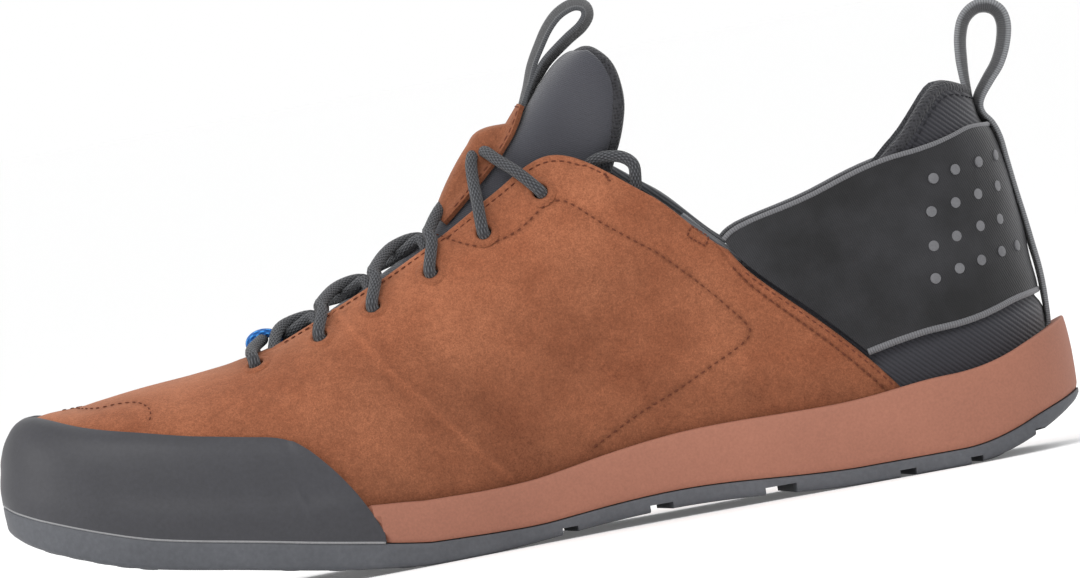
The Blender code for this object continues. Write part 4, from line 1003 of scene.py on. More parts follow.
def grid_runs(points):
    """Distances over the suede's grid from its rear edge, and from its top edge."""
    return run_along(points), run_along(points[:, ::-1], 1)[:, ::-1]


def make_suede_skin():
    """The suede upper: a skin with relief, rolled edges, holes and seams, on both sides of the last."""
    columns, rows = SKIN_COLUMNS, SKIN_ROWS
    vertices, faces, shades_and_tones, start = [], [], [], 0
    for side in SIDES:
        x, points, normals = skin_grid(side)
        lift = np.zeros(x.shape)
        run, edge = grid_runs(points)
        fold = 1 / (1 + np.exp((run - 2.6 * MM) / (0.3 * MM)))
        lift += 0.5 * MM * fold - 0.3 * MM * ridge(run - 3.4 * MM, 0.7)
        seam = line_distance(points, on_skin(VAMP_SEAM, side))
        lift += 0.35 * MM * ridge(seam, 0.9) - 0.25 * MM * ridge(seam - 1.9 * MM, 0.8)
        dart = line_distance(points, on_skin(DART, side))
        lift -= 0.28 * MM * ridge(dart, 1.0)
        toe = line_distance(points, on_skin(TOE_STITCH, side))
        lift -= 0.2 * MM * ridge(toe, 0.9)
        open_top = x < THROAT_FRONT * LENGTH - 2 * MM
        lift -= np.where(open_top, 0.22 * MM * ridge(edge - 2.0 * MM, 0.7), 0.0)
        lift += np.where(open_top, 0.15 * MM * ridge(edge - 0.9 * MM, 0.9), 0.0)
        gather = ridge(points[..., 0] - (LENGTH / 2 - 92 * MM), 16) * ridge(points[..., 2] - 66 * MM, 14)
        lift += gather * 0.3 * MM * wobble(points, 7, 4) + 0.16 * MM * wobble(points, 28, 7)
        flex = ridge(points[..., 0] - (LENGTH / 2 - 205 * MM), 22)
        lift += flex * 0.22 * MM * wobble(points, 12, 11)
        lift *= np.clip(edge / (0.6 * MM), 0, 1)
        skin = points + normals * lift[..., None]
        keep = np.ones(x.shape, bool)
        for station in EYELET_PLACES:
            centre = eyelet(side, station, 0.0)
            away = skin - centre
            gone = np.linalg.norm(away, axis=-1)
            close = gone < HOLE_REACH
            out = EYELET_RADIUS + gone * (HOLE_REACH - EYELET_RADIUS) / HOLE_REACH
            skin = np.where(close[..., None], centre + unit(away) * out[..., None], skin)
            keep &= gone > HOLE_CORE
        rolled = [skin]
        turn = np.radians([35, 70, 90, 90])
        for k, more in enumerate(turn):
            depth = (1 - math.cos(more)) * 1.1 * MM + (1.3 * MM if k == 3 else 0.0)
            reach = math.sin(more) * 0.5 * MM
            up = unit(points[:, -1] - points[:, -2])[:, None]
            out = up * reach * open_top[:, -1:, None]
            rolled.append(points[:, -1:] - normals[:, -1:] * depth + out)
        sheet = np.concatenate(rolled, 1)
        back = sheet[:1] - np.concatenate([normals[:1], np.repeat(normals[:1, -1:], 4, 1)], 1) * 2.0 * MM
        middle = sheet[:1] * 0.55 + back * 0.45
        middle[..., 0] += 0.25 * MM
        sheet = np.concatenate([back, middle, sheet], 0)
        keep = np.concatenate([keep, np.ones((columns, 4), bool)], 1)
        keep = np.concatenate([np.ones((2, rows + 4), bool), keep], 0)
        wide, tall = sheet.shape[:2]
        opened = np.concatenate([np.array([True, True]), open_top[:, -1]])
        for i in range(wide - 1):
            for j in range(tall - 1):
                if j >= rows - 1 and not (opened[i] and opened[i + 1]):
                    continue
                if not (keep[i, j] and keep[i + 1, j] and keep[i, j + 1] and keep[i + 1, j + 1]):
                    continue
                a = start + i * tall + j
                faces.append((a, a + 1, a + tall + 1, a + tall))
        start += wide * tall
        vertices.append(sheet.reshape(-1, 3))
        # Vertex colour of painted shade and painted light, with random tone.
        shade_and_tone = np.ones(x.shape)
        height = points[..., 2]
        place_mm = (LENGTH / 2 - points[..., 0]) / MM
        # Painted shade, darker towards the ground.
        low = np.clip(1 - (height - feather(place_mm * MM)) / (16 * MM), 0, 1)
        shade_and_tone -= 0.24 * low
        # Painted shade low on the quarter's waist, painted light high on the quarter; lighter round the toe.
        shade_and_tone -= 0.16 * ridge((place_mm - 150) * MM, 60) * ridge(height - 36 * MM, 24)
        shade_and_tone += 0.13 * ridge((place_mm - 160) * MM, 34) * ridge(height - 76 * MM, 18)
        shade_and_tone += 0.06 * ridge((place_mm - 245) * MM, 30)
        # Painted highlight on the vamp seam's ridge; painted shade in the dart and toe stitch grooves.
        shade_and_tone += 0.16 * ridge(seam, 1.0) - 0.16 * ridge(dart, 0.8) - 0.12 * ridge(toe, 0.7)
        # Painted shade in the groove beside the rear edge and along that edge.
        shade_and_tone -= 0.25 * ridge(run - 3.4 * MM, 0.6) + 0.12 * ridge(run, 1.0)
        shade_and_tone += 0.07 * wobble(points, 42, 21) + 0.05 * wobble(points, 13, 22)
        # Painted shade on the rolled top edge and the turned rear edge.
        shade_and_tone = np.concatenate([shade_and_tone, np.repeat(shade_and_tone[:, -1:] * 0.75, 4, 1)], 1)
        shade_and_tone = np.concatenate([shade_and_tone[:1] * 0.6, shade_and_tone[:1] * 0.8, shade_and_tone], 0)
        shades_and_tones.append(shade_and_tone.ravel())
    shades_and_tones = np.concatenate(shades_and_tones)
    made = mesh_object("suede_upper", np.concatenate(vertices), faces, "suede")
    attribute = made.data.attributes.new("shade_and_tone", "FLOAT_COLOR", "POINT")
    value = np.stack([shades_and_tones, shades_and_tones, shades_and_tones, np.ones(len(shades_and_tones))], -1)
    attribute.data.foreach_set("color", value.ravel())
    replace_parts(made, "upper")
    return made


INNER_HOLES = {side: [eyelet(side, s, -WALL) for s in EYELET_PLACES] for side in SIDES}


def make_lining():
    """The inside of the upper, seen through the collar and from below."""
    vertices, faces, start = [], [], 0
    rows = 40
    for side in SIDES:
        counter = np.linspace(HEEL_SETBACK, COUNTER_FOOT * LENGTH, 26)
        quarter = np.linspace(COUNTER_FOOT * LENGTH + MM, LENGTH - FORM_INSET - 2 * MM, 110)
        foot = np.concatenate([counter, quarter])
        part = np.linspace(0, 1, rows)[None, :]
        behind = np.clip((COUNTER_FOOT * LENGTH + 24 * MM - foot) / (24 * MM), 0, 1)[:, None]
        depth = WALL + (COUNTER_STEP + COUNTER_WALL - WALL) * behind
        points = rib_point(side, foot[:, None], part * 0.995, -depth)
        for i in range(len(foot) - 1):
            for j in range(rows - 1):
                a = start + i * rows + j
                middle = points[i : i + 2, j : j + 2].mean((0, 1))
                if any(np.linalg.norm(middle - eyelet_at) < LINING_HOLE for eyelet_at in INNER_HOLES[side]):
                    continue
                faces.append((a, a + 1, a + rows + 1, a + rows))
        vertices.append(points.reshape(-1, 3))
        start += len(foot) * rows
    made = mesh_object("upper_lining", np.concatenate(vertices), faces, "lining", merge=0.02 * MM)
    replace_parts(made, "upper")
    return made


def round_heel(sides):
    """Joins the inner and the outer side's points round the heel."""
    return np.concatenate([sides[0][::-1], sides[1][1:]])


def heel_line(feet, part, lift):
    """A line round the heel, across the ribs that start at feet."""
    return round_heel([rib_point(side, feet, part, lift) for side in SIDES])


def make_counter():
    """The textile heel under the band, up to the collar, with its rolled edge."""
    rows = 56
    foot = np.linspace(HEEL_SETBACK, COUNTER_FOOT * LENGTH - 0.2 * MM, 40)
    part = np.linspace(0, 0.955, rows)[None, :]
    grids = []
    for side in SIDES:
        where = rib_point(side, foot[:, None], part, 0.0)
        below = np.clip((43.5 * MM - 0.19 * (LENGTH / 2 - where[..., 0]) - where[..., 2]) / (5 * MM), 0, 1)
        bulge = 0.12 * MM * wobble(where, 20, 3) + 2.0 * MM * below * below * (3 - 2 * below)
        grids.append(rib_point(side, foot[:, None], part, -COUNTER_STEP + bulge))
    both = round_heel(grids)
    uv = np.stack([np.arange(len(both))[:, None] * MM * np.ones(both.shape[:2]), run_along(both, 1)], -1)
    made = mesh_object("heel_textile", both, grid_faces(len(both), rows), "twill", uv)
    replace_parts(made, "upper")
    feet = np.linspace(HEEL_SETBACK, COUNTER_FOOT * LENGTH - 0.6 * MM, 50)
    line = heel_line(feet, 0.945, -COUNTER_STEP - COUNTER_WALL / 2)
    roll = tubes("collar_roll", [resampled(line, 1.0 * MM)], 1.9 * MM, "mesh_edge", 14)
    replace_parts(roll, "upper")
    feet = np.linspace(COUNTER_FOOT * LENGTH, 0.45 * LENGTH, 60)
    near = np.linspace(COUNTER_FOOT * LENGTH - 5 * MM, COUNTER_FOOT * LENGTH + 16 * MM, 30)
    near = rib_point(MEDIAL, near, 1.0, -3.0 * MM) - np.array([0, 0, 0.6 * MM])
    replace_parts(tubes("near_collar", [resampled(near, MM)], 1.8 * MM, "lining", 12), "upper")
    collar = rib_point(LATERAL, feet, 1.0, -1.6 * MM) + np.array([0, 0, 0.9 * MM])
    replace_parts(tubes("far_collar", [resampled(collar, MM)], 1.8 * MM, "lining", 12), "upper")
    edge = heel_line(np.linspace(HEEL_SETBACK, 0.148 * LENGTH, 50), 0.89, -COUNTER_STEP + 0.25 * MM)
    stitches("collar_stitches", [edge], "thread_dark", 1.8, 0.9, 0.25)


def rand_top(x):
    """Height of the rubber rand's upper edge."""
    return outsole_top(x) + rand_height(x / LENGTH) * (form_base(x) + form_height(x) - outsole_top(x))


def middled(rows):
    """The inner rows, each moved halfway to the middle of its neighbours."""
    return rows[1:-1] * 0.5 + (rows[:-2] + rows[2:]) * 0.25


def make_rand_skin():
    """The rubber rand, up the sole's side and over the suede, with its light glue line."""
    back = float(x_place(RAND_BACK * LENGTH, 0, 0))
    stations = form_x(np.linspace(back, 3.0, 150))
    full = RAND_FULL * LENGTH
    stations = np.sort(np.append(stations[np.abs(stations - full) > 0.5 * MM], full))
    rows = 30
    sides = {}
    for side in SIDES:
        columns = {True: [], False: []}
        for x in stations:
            top = float(rand_top(x))
            place = float(form_place(min(x, LENGTH - FORM_INSET)))
            wall_x = {True: float(place_x(place, 0, 0)), False: float(place_x(place, RAND_THICKNESS, 0))}
            rim = float(feather(wall_x[False]))
            top_turn = 90.0
            if x <= RAND_FULL * LENGTH:
                top_turn = float(angle_at(x, (top - form_base(x)) / form_height(x)))
            start = float(angle_at(x, (rim + 2.5 * MM - form_base(x)) / form_height(x)))
            for outer in (True, False):
                low = float(outsole_top(wall_x[outer])) + 1.5 * GAP
                across = edge_y(wall_x[outer], side, 0 if outer else RAND_THICKNESS)
                if x <= RAND_TURN * LENGTH:
                    z = np.linspace(low, top, rows)
                    wall = world(wall_x[outer], across, z)
                    share = (z - form_base(x)) / form_height(x)
                    lift = GAP + (RAND_THICKNESS if outer else 0.0)
                    skin = on_form(side * place, angle_at(x, share), lift)
                    over = np.clip((z - rim) / (4 * MM), 0, 1)[:, None]
                    columns[outer].append(wall + (skin - wall) * over)
                else:
                    part = np.linspace(0, 1, rows - 6)
                    thinner = np.clip((part - 0.7) / 0.3, 0, 1) ** 1.5
                    thick = RAND_THICKNESS + (0.7 * MM - RAND_THICKNESS) * thinner
                    extra = 0.5 * MM * (1 - part) ** 6
                    at_tip = min(1.0, max(0.0, (x / LENGTH - 0.86) / 0.06))
                    extra = extra + 2.5 * GAP * at_tip * (1 - part**3)
                    lift = GAP + extra + (thick if outer else 0 * thick)
                    skin = on_form(side * place, start + (top_turn - start) * part, lift)
                    wall = world(wall_x[outer], across, np.linspace(low, rim - 0.5 * MM, 6))
                    columns[outer].append(np.concatenate([wall, skin]))
        sides[side] = {k: np.array(v) for k, v in columns.items()}
    outer, inner = (np.concatenate([sides[MEDIAL][k], sides[LATERAL][k][::-1]]) for k in (True, False))
    for _ in range(2):
        outer[1:-1, 3:-1] = middled(outer[:, 3:-1])
        outer[:, 4:-2] = np.swapaxes(middled(np.swapaxes(outer[:, 3:-1], 0, 1)), 0, 1)
    vertices, faces, uv = thick_sheet(outer, inner)
    made = mesh_object("rubber_rand", vertices, faces, "rand", uv, merge=0.01 * MM, sharp=60)
    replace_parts(made, "toe_rand")
    line = outer[:, 0] - np.array([0, 0, 0.15 * MM])
    line = line + unit(line - line.mean(0)) * -0.35 * MM
    tubes("rand_glue_line", [resampled(line, 1.2 * MM)], 0.4 * MM, "glue", 8)


def sole_ring(inset, height, heel_inset=None, count=(26, 90, 44)):
    """Points round the sole outline, drawn in by inset(x) and at height(x)."""
    toe_inset = float(inset(np.array(LENGTH)))
    back = float(inset(np.array(0.0))) if heel_inset is None else heel_inset
    along = [np.linspace(0, 1, count[0], endpoint=False), np.linspace(1, 2, count[1], endpoint=False)]
    along = np.concatenate(along + [np.linspace(2, 3, count[2])])
    x = place_x(along, toe_inset, back)
    rows = [world(x, edge_y(x, side, inset(x), back), height(x)) for side in SIDES]
    return np.concatenate([rows[0], rows[1][-2:0:-1]])


def ring_stack(name, rings, material, sharp=50):
    """A closed body through rings of points, capped at both ends."""
    count = len(rings[0])
    vertices = np.concatenate(rings)
    faces = grid_faces(len(rings), count, closed=True)
    for start in (0, len(vertices) - count):
        for j in range(count // 2):
            corners = (j, j + 1, (count - j - 1) % count, (count - j) % count)
            faces.append(tuple(dict.fromkeys(start + k for k in corners)))
    faces = [face for face in faces if len(face) > 2]
    return mesh_object(name, vertices, faces, material, sharp=sharp)


def under_rand(x, z):
    """How far a place of the sole's side lies under the rubber rand, from 0 to 1."""
    behind = np.clip((x - RAND_BACK * LENGTH) / MM + 0.5, 0, 1)
    return behind * np.clip((rand_top(x) - z) / (0.8 * MM) - 0.2, 0, 1)


def toe_part(x):
    """How far a place lies into the toe's last fifth, from 0 to 1."""
    return np.maximum(0.0, (x / LENGTH - 0.8) / 0.2)


def foam_ring(height, inward):
    """A ring of the midsole's side at height(x), inward millimetres in where the rand doesn't cover it."""
    def inset(x):
        covered = under_rand(x, height(x))
        return (RAND_THICKNESS + 2 * GAP) * covered + inward * MM * (1 - covered)

    return sole_ring(inset, height)


# Share of the midsole's height, and millimetres drawn in there
FOAM_SIDE = ((0, 0.5), (0.05, 0.12), (0.12, 0), (0.3, -0.12), (0.5, -0.16), (0.7, 0), (0.86, 0.25))


def make_midsole():
    """The foam midsole, drawn in under the rand, with a cup's rim at its top."""
    cup = FORM_INSET - GAP
    heel = HEEL_SETBACK - GAP

    def rim(x):
        return feather(x) - 6 * GAP * under_rand(x, feather(x))

    def low(x):
        return outsole_top(x) + GAP * (1 + 2 * toe_part(x))

    def inner(x):
        return cup - 1.5 * GAP - 0.4 * MM * toe_part(x)

    def lip(x):
        return np.minimum((RAND_THICKNESS + 2 * GAP) * under_rand(x, rim(x)) + 1.4 * MM, inner(x))

    steps = []
    for share, inward in FOAM_SIDE:
        steps.append(foam_ring(lambda x: low(x) + (rim(x) - low(x)) * share, inward))
    for drop, inward in ((0.8, 0.5), (0.35, 0.65), (0.08, 0.95)):
        steps.append(foam_ring(lambda x: rim(x) - drop * MM, inward))
    steps.append(sole_ring(lip, rim))
    steps.append(sole_ring(inner, rim, heel - GAP))
    floor_of = lambda x: form_base(x) - GAP * (1 + 2 * toe_part(x))
    steps.append(sole_ring(lambda x: cup - 0.4 * MM * toe_part(x), floor_of, heel))
    foam = ring_stack("foam_midsole", steps, "foam")
    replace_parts(foam, "midsole")


def make_outsole():
    """The outsole with grooves cut across it, and small lugs between them."""
    rings = []
    for inset, height in ((2.5, 0.0), (1.2, 0.25), (0.5, 0.7), (0.2, 1.3)):
        rings.append(sole_ring(lambda x: 0 * x + inset * MM, lambda x: sole_bottom(x) + height * MM))
    for share, inward in ((0.45, 0.1), (0.7, 0.0), (0.92, 0.0)):
        rings.append(sole_ring(lambda x: 0 * x + inward * MM,
                               lambda x: sole_bottom(x) + (outsole_top(x) - sole_bottom(x)) * share))
    rings.append(sole_ring(lambda x: 0 * x + 0.35 * MM, outsole_top))
    tread = ring_stack("tread_sole", rings, "tread", 40)
    cutters = []
    for station, width, slant in GROOVES:
        x, half = station * LENGTH, width / 2
        top = float(sole_bottom(x)) + GROOVE_DEPTH
        near, far = -HEEL_WIDTH, HEEL_WIDTH
        if station > 0.6:
            near, far = float(edge_y(x, MEDIAL)) + 6 * MM, float(edge_y(x, LATERAL)) - 6 * MM
        line = [(near, 1), (0, 1), (far, 1), (far, -1), (0, -1), (near, -1)]
        flat = [(x + sign * half - slant * abs(y), y) for y, sign in line]
        points = [world(a, b, -20 * MM) for a, b in flat]
        roof = [world(a + (0.6 * MM if a < x else -0.6 * MM), b, top) for a, b in flat]
        sides = [(j, (j + 1) % 6, (j + 1) % 6 + 6, j + 6) for j in range(6)]
        sides += [(0, 1, 4, 5), (1, 2, 3, 4), (6, 7, 10, 11), (7, 8, 9, 10)]
        cutters.append((np.array(points + roof), sides, np.zeros((12, 2))))
    vertices, faces, _ = together(cutters)
    cutter = mesh_object("groove_cutter", vertices, faces, "tread", smooth=False)
    modifier = tread.modifiers.new("grooves", "BOOLEAN")
    modifier.operation, modifier.solver, modifier.object = "DIFFERENCE", "EXACT", cutter
    applied(tread).set_sharp_from_angle(angle=math.radians(35))
    bpy.data.objects.remove(cutter)
    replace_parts(tread, "outsole")
    lugs = []
    for a in np.arange(26, 282, 6.2):
        for b in np.arange(-44, 45, 6.2):
            b = b + (3.1 if int(a / 6.2) % 2 else 0)
            x = np.array(a * MM)
            if b * MM < float(edge_y(x, MEDIAL)) + 7 * MM or b * MM > float(edge_y(x, LATERAL)) - 7 * MM:
                continue
            cut = False
            for station, width, slant in GROOVES:
                cut = cut or abs(a - station * LENGTH / MM + slant * abs(b)) < width / MM / 2 + 3.2
            if cut:
                continue
            if 62 < a < 160 or float(sole_bottom(x)) < 0.35 * MM:
                continue
            turns = np.arange(6) * math.pi / 3
            rings = []
            for radius, drop in ((2.5, -0.2), (2.3, 0.28), (1.9, 0.33)):
                z = sole_bottom(x + np.cos(turns) * radius * MM) - drop * MM
                rings.append(world(x + np.cos(turns) * radius * MM, b * MM + np.sin(turns) * radius * MM, z))
            lugs.append(stacked(rings))
    vertices, faces, _ = together(lugs)
    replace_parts(mesh_object("tread_lugs", vertices, faces, "tread", smooth=False), "outsole")


def evened(values, reach=5):
    """The values with their small waves taken out."""
    before, after = 2 * values[0] - values[reach:0:-1], 2 * values[-1] - values[-2:-reach - 2:-1]
    longer = np.concatenate([before, values, after])
    return np.convolve(longer, np.ones(2 * reach + 1) / (2 * reach + 1), "valid")


def make_band_skin():
    """The stretch band round the heel with its pipings and dots."""
    front = BAND_FRONT_FOOT * LENGTH
    foot = form_x(np.linspace(0, float(form_place(front)), 46))
    low, high = evened(band_share(foot, 0)), evened(band_share(foot, 1) + 0.018)
    under = -COUNTER_STEP + 1.5 * GAP
    shares = np.linspace(0, 1, 34)
    sides = []
    for side in SIDES:
        share = low[:, None] + (high - low)[:, None] * shares[None, :]
        where = rib_at_share(side, foot[:, None], share, 0.0)
        puff = 0.25 * MM * wobble(where, 22, 9)
        puff += 0.45 * MM * np.sin(np.pi * shares)[None, :] ** 0.5
        outer = rib_at_share(side, foot[:, None], share, under + BAND_THICKNESS - 0.35 * MM + puff)
        inner = rib_at_share(side, foot[:, None], share, under)
        edges = [rib_at_share(side, foot, edge, under + BAND_THICKNESS * 0.55) for edge in (low, high)]
        sides.append((outer, inner, *edges))
    outer, inner, bottom, top = (round_heel(pair) for pair in zip(*sides))
    vertices, faces, uv = thick_sheet(outer, inner)
    made = mesh_object("stretch_band", vertices, faces, "stretch", uv, sharp=60)
    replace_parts(made, "heel_band")
    tubes("band_bottom_piping", [resampled(bottom, 0.8 * MM)], 0.95 * MM, "piping", 10)
    tubes("band_top_piping", [resampled(top, 0.8 * MM)], 0.72 * MM, "piping", 10)
    discs = []
    for side in SIDES:
        for a, b in BAND_DOTS:
            slope = np.linalg.norm(spot(a + 1, b, side) - spot(a - 1, b, side)) / (2 * MM)
            turns = np.arange(16) * math.pi / 8
            rings = []
            for radius, height in ((1.5, -0.65), (1.45, 0.05), (1.25, 0.16)):
                across, up = a + np.cos(turns) * radius / slope, b + np.sin(turns) * radius
                rings.append(spot(across, up, side, (-0.05 + height) * MM))
            discs.append(stacked(rings))
    vertices, faces, _ = together(discs)
    mesh_object("band_dots", vertices, faces, "dots", sharp=50)


def strap(name, points, width, thickness, material, crown=0.15, twist=None):
    """A flat webbing with rounded edges along a line of points."""
    path = resampled(smooth_path(points, 10), 0.7 * MM)
    ahead = unit(np.gradient(path, axis=0))
    run = run_along(path)
    across = np.tile(np.array([0.0, 1.0, 0.0]), (len(path), 1))
    if twist is not None:
        turn = np.radians(np.interp(run / run[-1], [t for t, _ in twist], [a for _, a in twist]))[:, None]
        side = np.cross(ahead, across)
        across = across * np.cos(turn) + side * np.sin(turn)
    flat = unit(np.cross(ahead, across))
    w, t = width / 2, thickness / 2
    section = [(-1, -0.5), (-0.97, -0.9), (-0.6, -1.0), (0, -1 - crown), (0.6, -1.0), (0.97, -0.9), (1, -0.5)]
    section += [(1, 0.5), (0.97, 0.9), (0.6, 1.0), (0, 1 + crown), (-0.6, 1.0), (-0.97, 0.9), (-1, 0.5)]
    rings = np.stack([path + across * (a * w) + flat * (b * t) for a, b in section], 1)
    uv = np.stack([np.stack([run, np.full(len(run), a * w)], -1) for a, _ in section], 1)
    return mesh_object(name, rings, tube_faces(len(path), len(section)), material, uv, sharp=60)


def make_straps():
    """The webbing up the heel and the pull loop on the tongue."""
    points = [world(x * MM, ridge_y(x * MM), z * MM) for x, z in HEEL_STRAP]
    made = strap("heel_webbing", points, WEBBING_WIDTH, WEBBING_THICKNESS, "strap",
                 twist=((0, 0), (0.08, 3), (0.4, 6), (0.6, 14), (0.75, 17), (0.9, 14), (1, 6)))
    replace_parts(made, "heel_loop")
    points = [world(x * MM, 0.0, z * MM) for x, z in TONGUE_STRAP]
    made = strap("tongue_webbing", points, 0.8 * WEBBING_WIDTH, WEBBING_THICKNESS, "tongue_strap",
                 twist=((0, 4), (0.15, 12), (0.5, 18), (0.85, 14), (1, 4)))
    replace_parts(made, "tongue_loop")


def tongue_rows():
    """Arches of the tongue's outer face from under the vamp to its top."""
    rows = []
    for station, half in TONGUE_FOOT:
        x = station * LENGTH
        place = float(form_place(x))
        turns = np.arange(1.0, 60, 0.5)
        away = np.abs(form_at(place, 90 - turns)[:, 1] - form_at(place, 90.0)[1])
        turn = turns[int(np.argmax(away >= half * TONGUE_WIDTH))]
        turns = 90 - turn + 2 * turn * np.arange(TONGUE_COUNT + 1) / TONGUE_COUNT
        rows.append(on_form(place, turns, -WALL - TONGUE_UNDER))
    root = ridge_point(TONGUE_ROOT, 0.0)[2]
    for rise, forward, half, depth, tilt in TONGUE:
        crest_x, crest_z = (TONGUE_TOP + forward) * LENGTH, root + TONGUE_RISE * rise
        turn = np.radians(90 - 180 * np.arange(TONGUE_COUNT + 1) / TONGUE_COUNT)
        fall = depth * TONGUE_WIDTH * (1 - np.abs(np.cos(turn)) ** 0.9)
        x = crest_x - fall * math.sin(math.radians(tilt))
        z = crest_z - fall * math.cos(math.radians(tilt))
        y = half * TONGUE_WIDTH * np.copysign(np.abs(np.sin(turn)) ** 0.9, turn)
        rows.append(world(x, y + ridge_y(x), z))
    return np.array(rows)


def keep_inside(points, room):
    """Moves points lower than the upper's edge in from its wall, by room from the outer skin."""
    x = LENGTH / 2 - points[..., 0]
    u = x / LENGTH
    share = (points[..., 2] - form_base(x)) / form_height(x)
    over = (share - edge_share(u)) * form_height(x)
    near_tuck = (points[..., 1] < 0) & (over > -30 * MM)
    tucked = np.where(near_tuck, np.exp(-(((u - LACE_TUCK) / 0.045) ** 4)), 0.0)
    room = room + tucked * (2 * LACE_RADIUS + 6 * GAP)
    weight = np.clip(1 - (over - (3 + 5 * tucked) * MM) / (8 * MM), 0, 1) * ((u > 0.05) & (u < 0.8))
    share = np.minimum(share, edge_share(u))
    side = np.where(points[..., 1] < ridge_y(x), MEDIAL, LATERAL)
    limit = skin_point(x, share, side, -room)[..., 1]
    held = np.where(side < 0, np.maximum(points[..., 1], limit), np.minimum(points[..., 1], limit))
    moved = points.copy()
    moved[..., 1] += (held - points[..., 1]) * weight
    return moved


def grid_normals(grid):
    """Unit normals of a grid, on the side that faces up."""
    normal = unit(np.cross(np.gradient(grid, axis=1), np.gradient(grid, axis=0)))
    return normal if normal[3, grid.shape[1] // 2, 2] > 0 else -normal


def grid_at(grid, i, j):
    """A point between those of a grid."""
    a, b = min(int(i), len(grid) - 2), min(max(int(j), 0), grid.shape[1] - 2)
    s, t = i - a, j - b
    low = grid[a, b] * (1 - t) + grid[a, b + 1] * t
    high = grid[a + 1, b] * (1 - t) + grid[a + 1, b + 1] * t
    return low * (1 - s) + high * s


TONGUE_FACE = keep_inside(tongue_rows(), WALL + TONGUE_UNDER + 1.3 * MM)
TONGUE_NORMALS = grid_normals(TONGUE_FACE)
crown = np.sin(np.linspace(0, math.pi, TONGUE_COUNT + 1))[None, :] ** 4
crown = crown * np.array([0, 1, 1, 1, 1, 1, 1] + [0] * 7)[:, None]
TONGUE_FACE = TONGUE_FACE + TONGUE_NORMALS * crown[..., None] * 1.7 * MM


def make_tongue_skin():
    """The padded tongue with its mesh edge and the seam beside it."""
    last = len(TONGUE_FACE) - 1
    thick = np.array([TONGUE_THICKNESS * min(1.0, 0.45 + 0.55 * i / 5) * (1.0 if i < last - 1 else 0.75)
                      for i in range(last + 1)])[:, None, None]
    inner = TONGUE_FACE - TONGUE_NORMALS * thick
    vertices, faces, uv = thick_sheet(TONGUE_FACE, inner)
    body = rounded(mesh_object("tongue_body", vertices, faces, "microfibre", uv), 2)
    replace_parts(body, "tongue")
    middle = (TONGUE_FACE * 0.5 + inner * 0.5)
    left, right = middle[6:, 0], middle[6:, -1]
    rim = np.concatenate([left, middle[-1, 1:-1], right[::-1]])
    rim = resampled(smooth_path(rim, 4), 1.0 * MM)
    for _ in range(6):
        rim[1:-1] = middled(rim)
    rim = rim + unit(middle[9:].reshape(-1, 3).mean(0) - rim) * 1.3 * MM
    fade = np.minimum(1.0, np.minimum(np.arange(len(rim)), np.arange(len(rim))[::-1]) / 12 + 0.35)
    made = tubes("tongue_edge", [rim], 2.15 * MM * fade, "mesh_edge", 14)
    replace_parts(made, "tongue")
    seam = []
    for i in np.linspace(9.2, last - 0.25, 26):
        seam.append(grid_at(TONGUE_FACE, i, 0.9) + grid_at(TONGUE_NORMALS, i, 0.9) * 0.1 * MM)
    stitches("tongue_seam", [resampled(seam, 0.8 * MM)], "thread_dark", 1.6, 0.8, 0.22)


def make_patch():
    """The suede patch on the tongue, raised in its middle where the laces pass under it."""
    first, last = 6.25, 8.95
    middle = TONGUE_COUNT // 2
    steps, wide = 26, 21
    low, top = np.zeros((steps + 1, wide, 3)), np.zeros((steps + 1, wide, 3))
    for a in range(steps + 1):
        part = a / steps
        i = first + (last - first) * part
        side = grid_at(TONGUE_FACE, i, middle + 2) - grid_at(TONGUE_FACE, i, middle - 2)
        narrower = 1 - 0.25 * part**2 - 0.5 * max(0.0, part - 0.8)
        reach = 0.74 * OVERLAY_WIDTH / 2 * narrower / (np.linalg.norm(side) / 2)
        for k in range(wide):
            across = (k / (wide - 1) - 0.5) * 2
            column = middle + 2 * across * reach
            point, normal = grid_at(TONGUE_FACE, i, column), unit(grid_at(TONGUE_NORMALS, i, column))
            lump = (KEEPER_RISE + 0.9 * MM) * max(0.0, math.sin(math.pi * min(1.0, part / 0.72))) ** 0.8
            lump *= max(0.0, 1 - (abs(across) / 0.62) ** 4)
            low[a, k] = point + normal * (3 * GAP + lump)
            top[a, k] = point + normal * (3 * GAP + lump + OVERLAY_THICKNESS)
    vertices, faces, uv = thick_sheet(top, low)
    made = mesh_object("tongue_suede", vertices, faces, "suede_plain", uv, sharp=60)
    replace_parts(made, "tongue_patch")
    rim = [top[a, 1] for a in range(1, steps)] + [top[steps - 1, k] for k in range(2, wide - 1)]
    rim += [top[a, -2] for a in range(steps - 1, 0, -1)]
    stitches("patch_stitches", [np.array(rim)], "thread", 1.7, 0.8, 0.25)


def halfway(first, last, side):
    """The point between two others, lifted a little off the shoe on the given side."""
    return (first + last) / 2 + unit(np.array([0.0, side, 0.6])) * 1.2 * MM


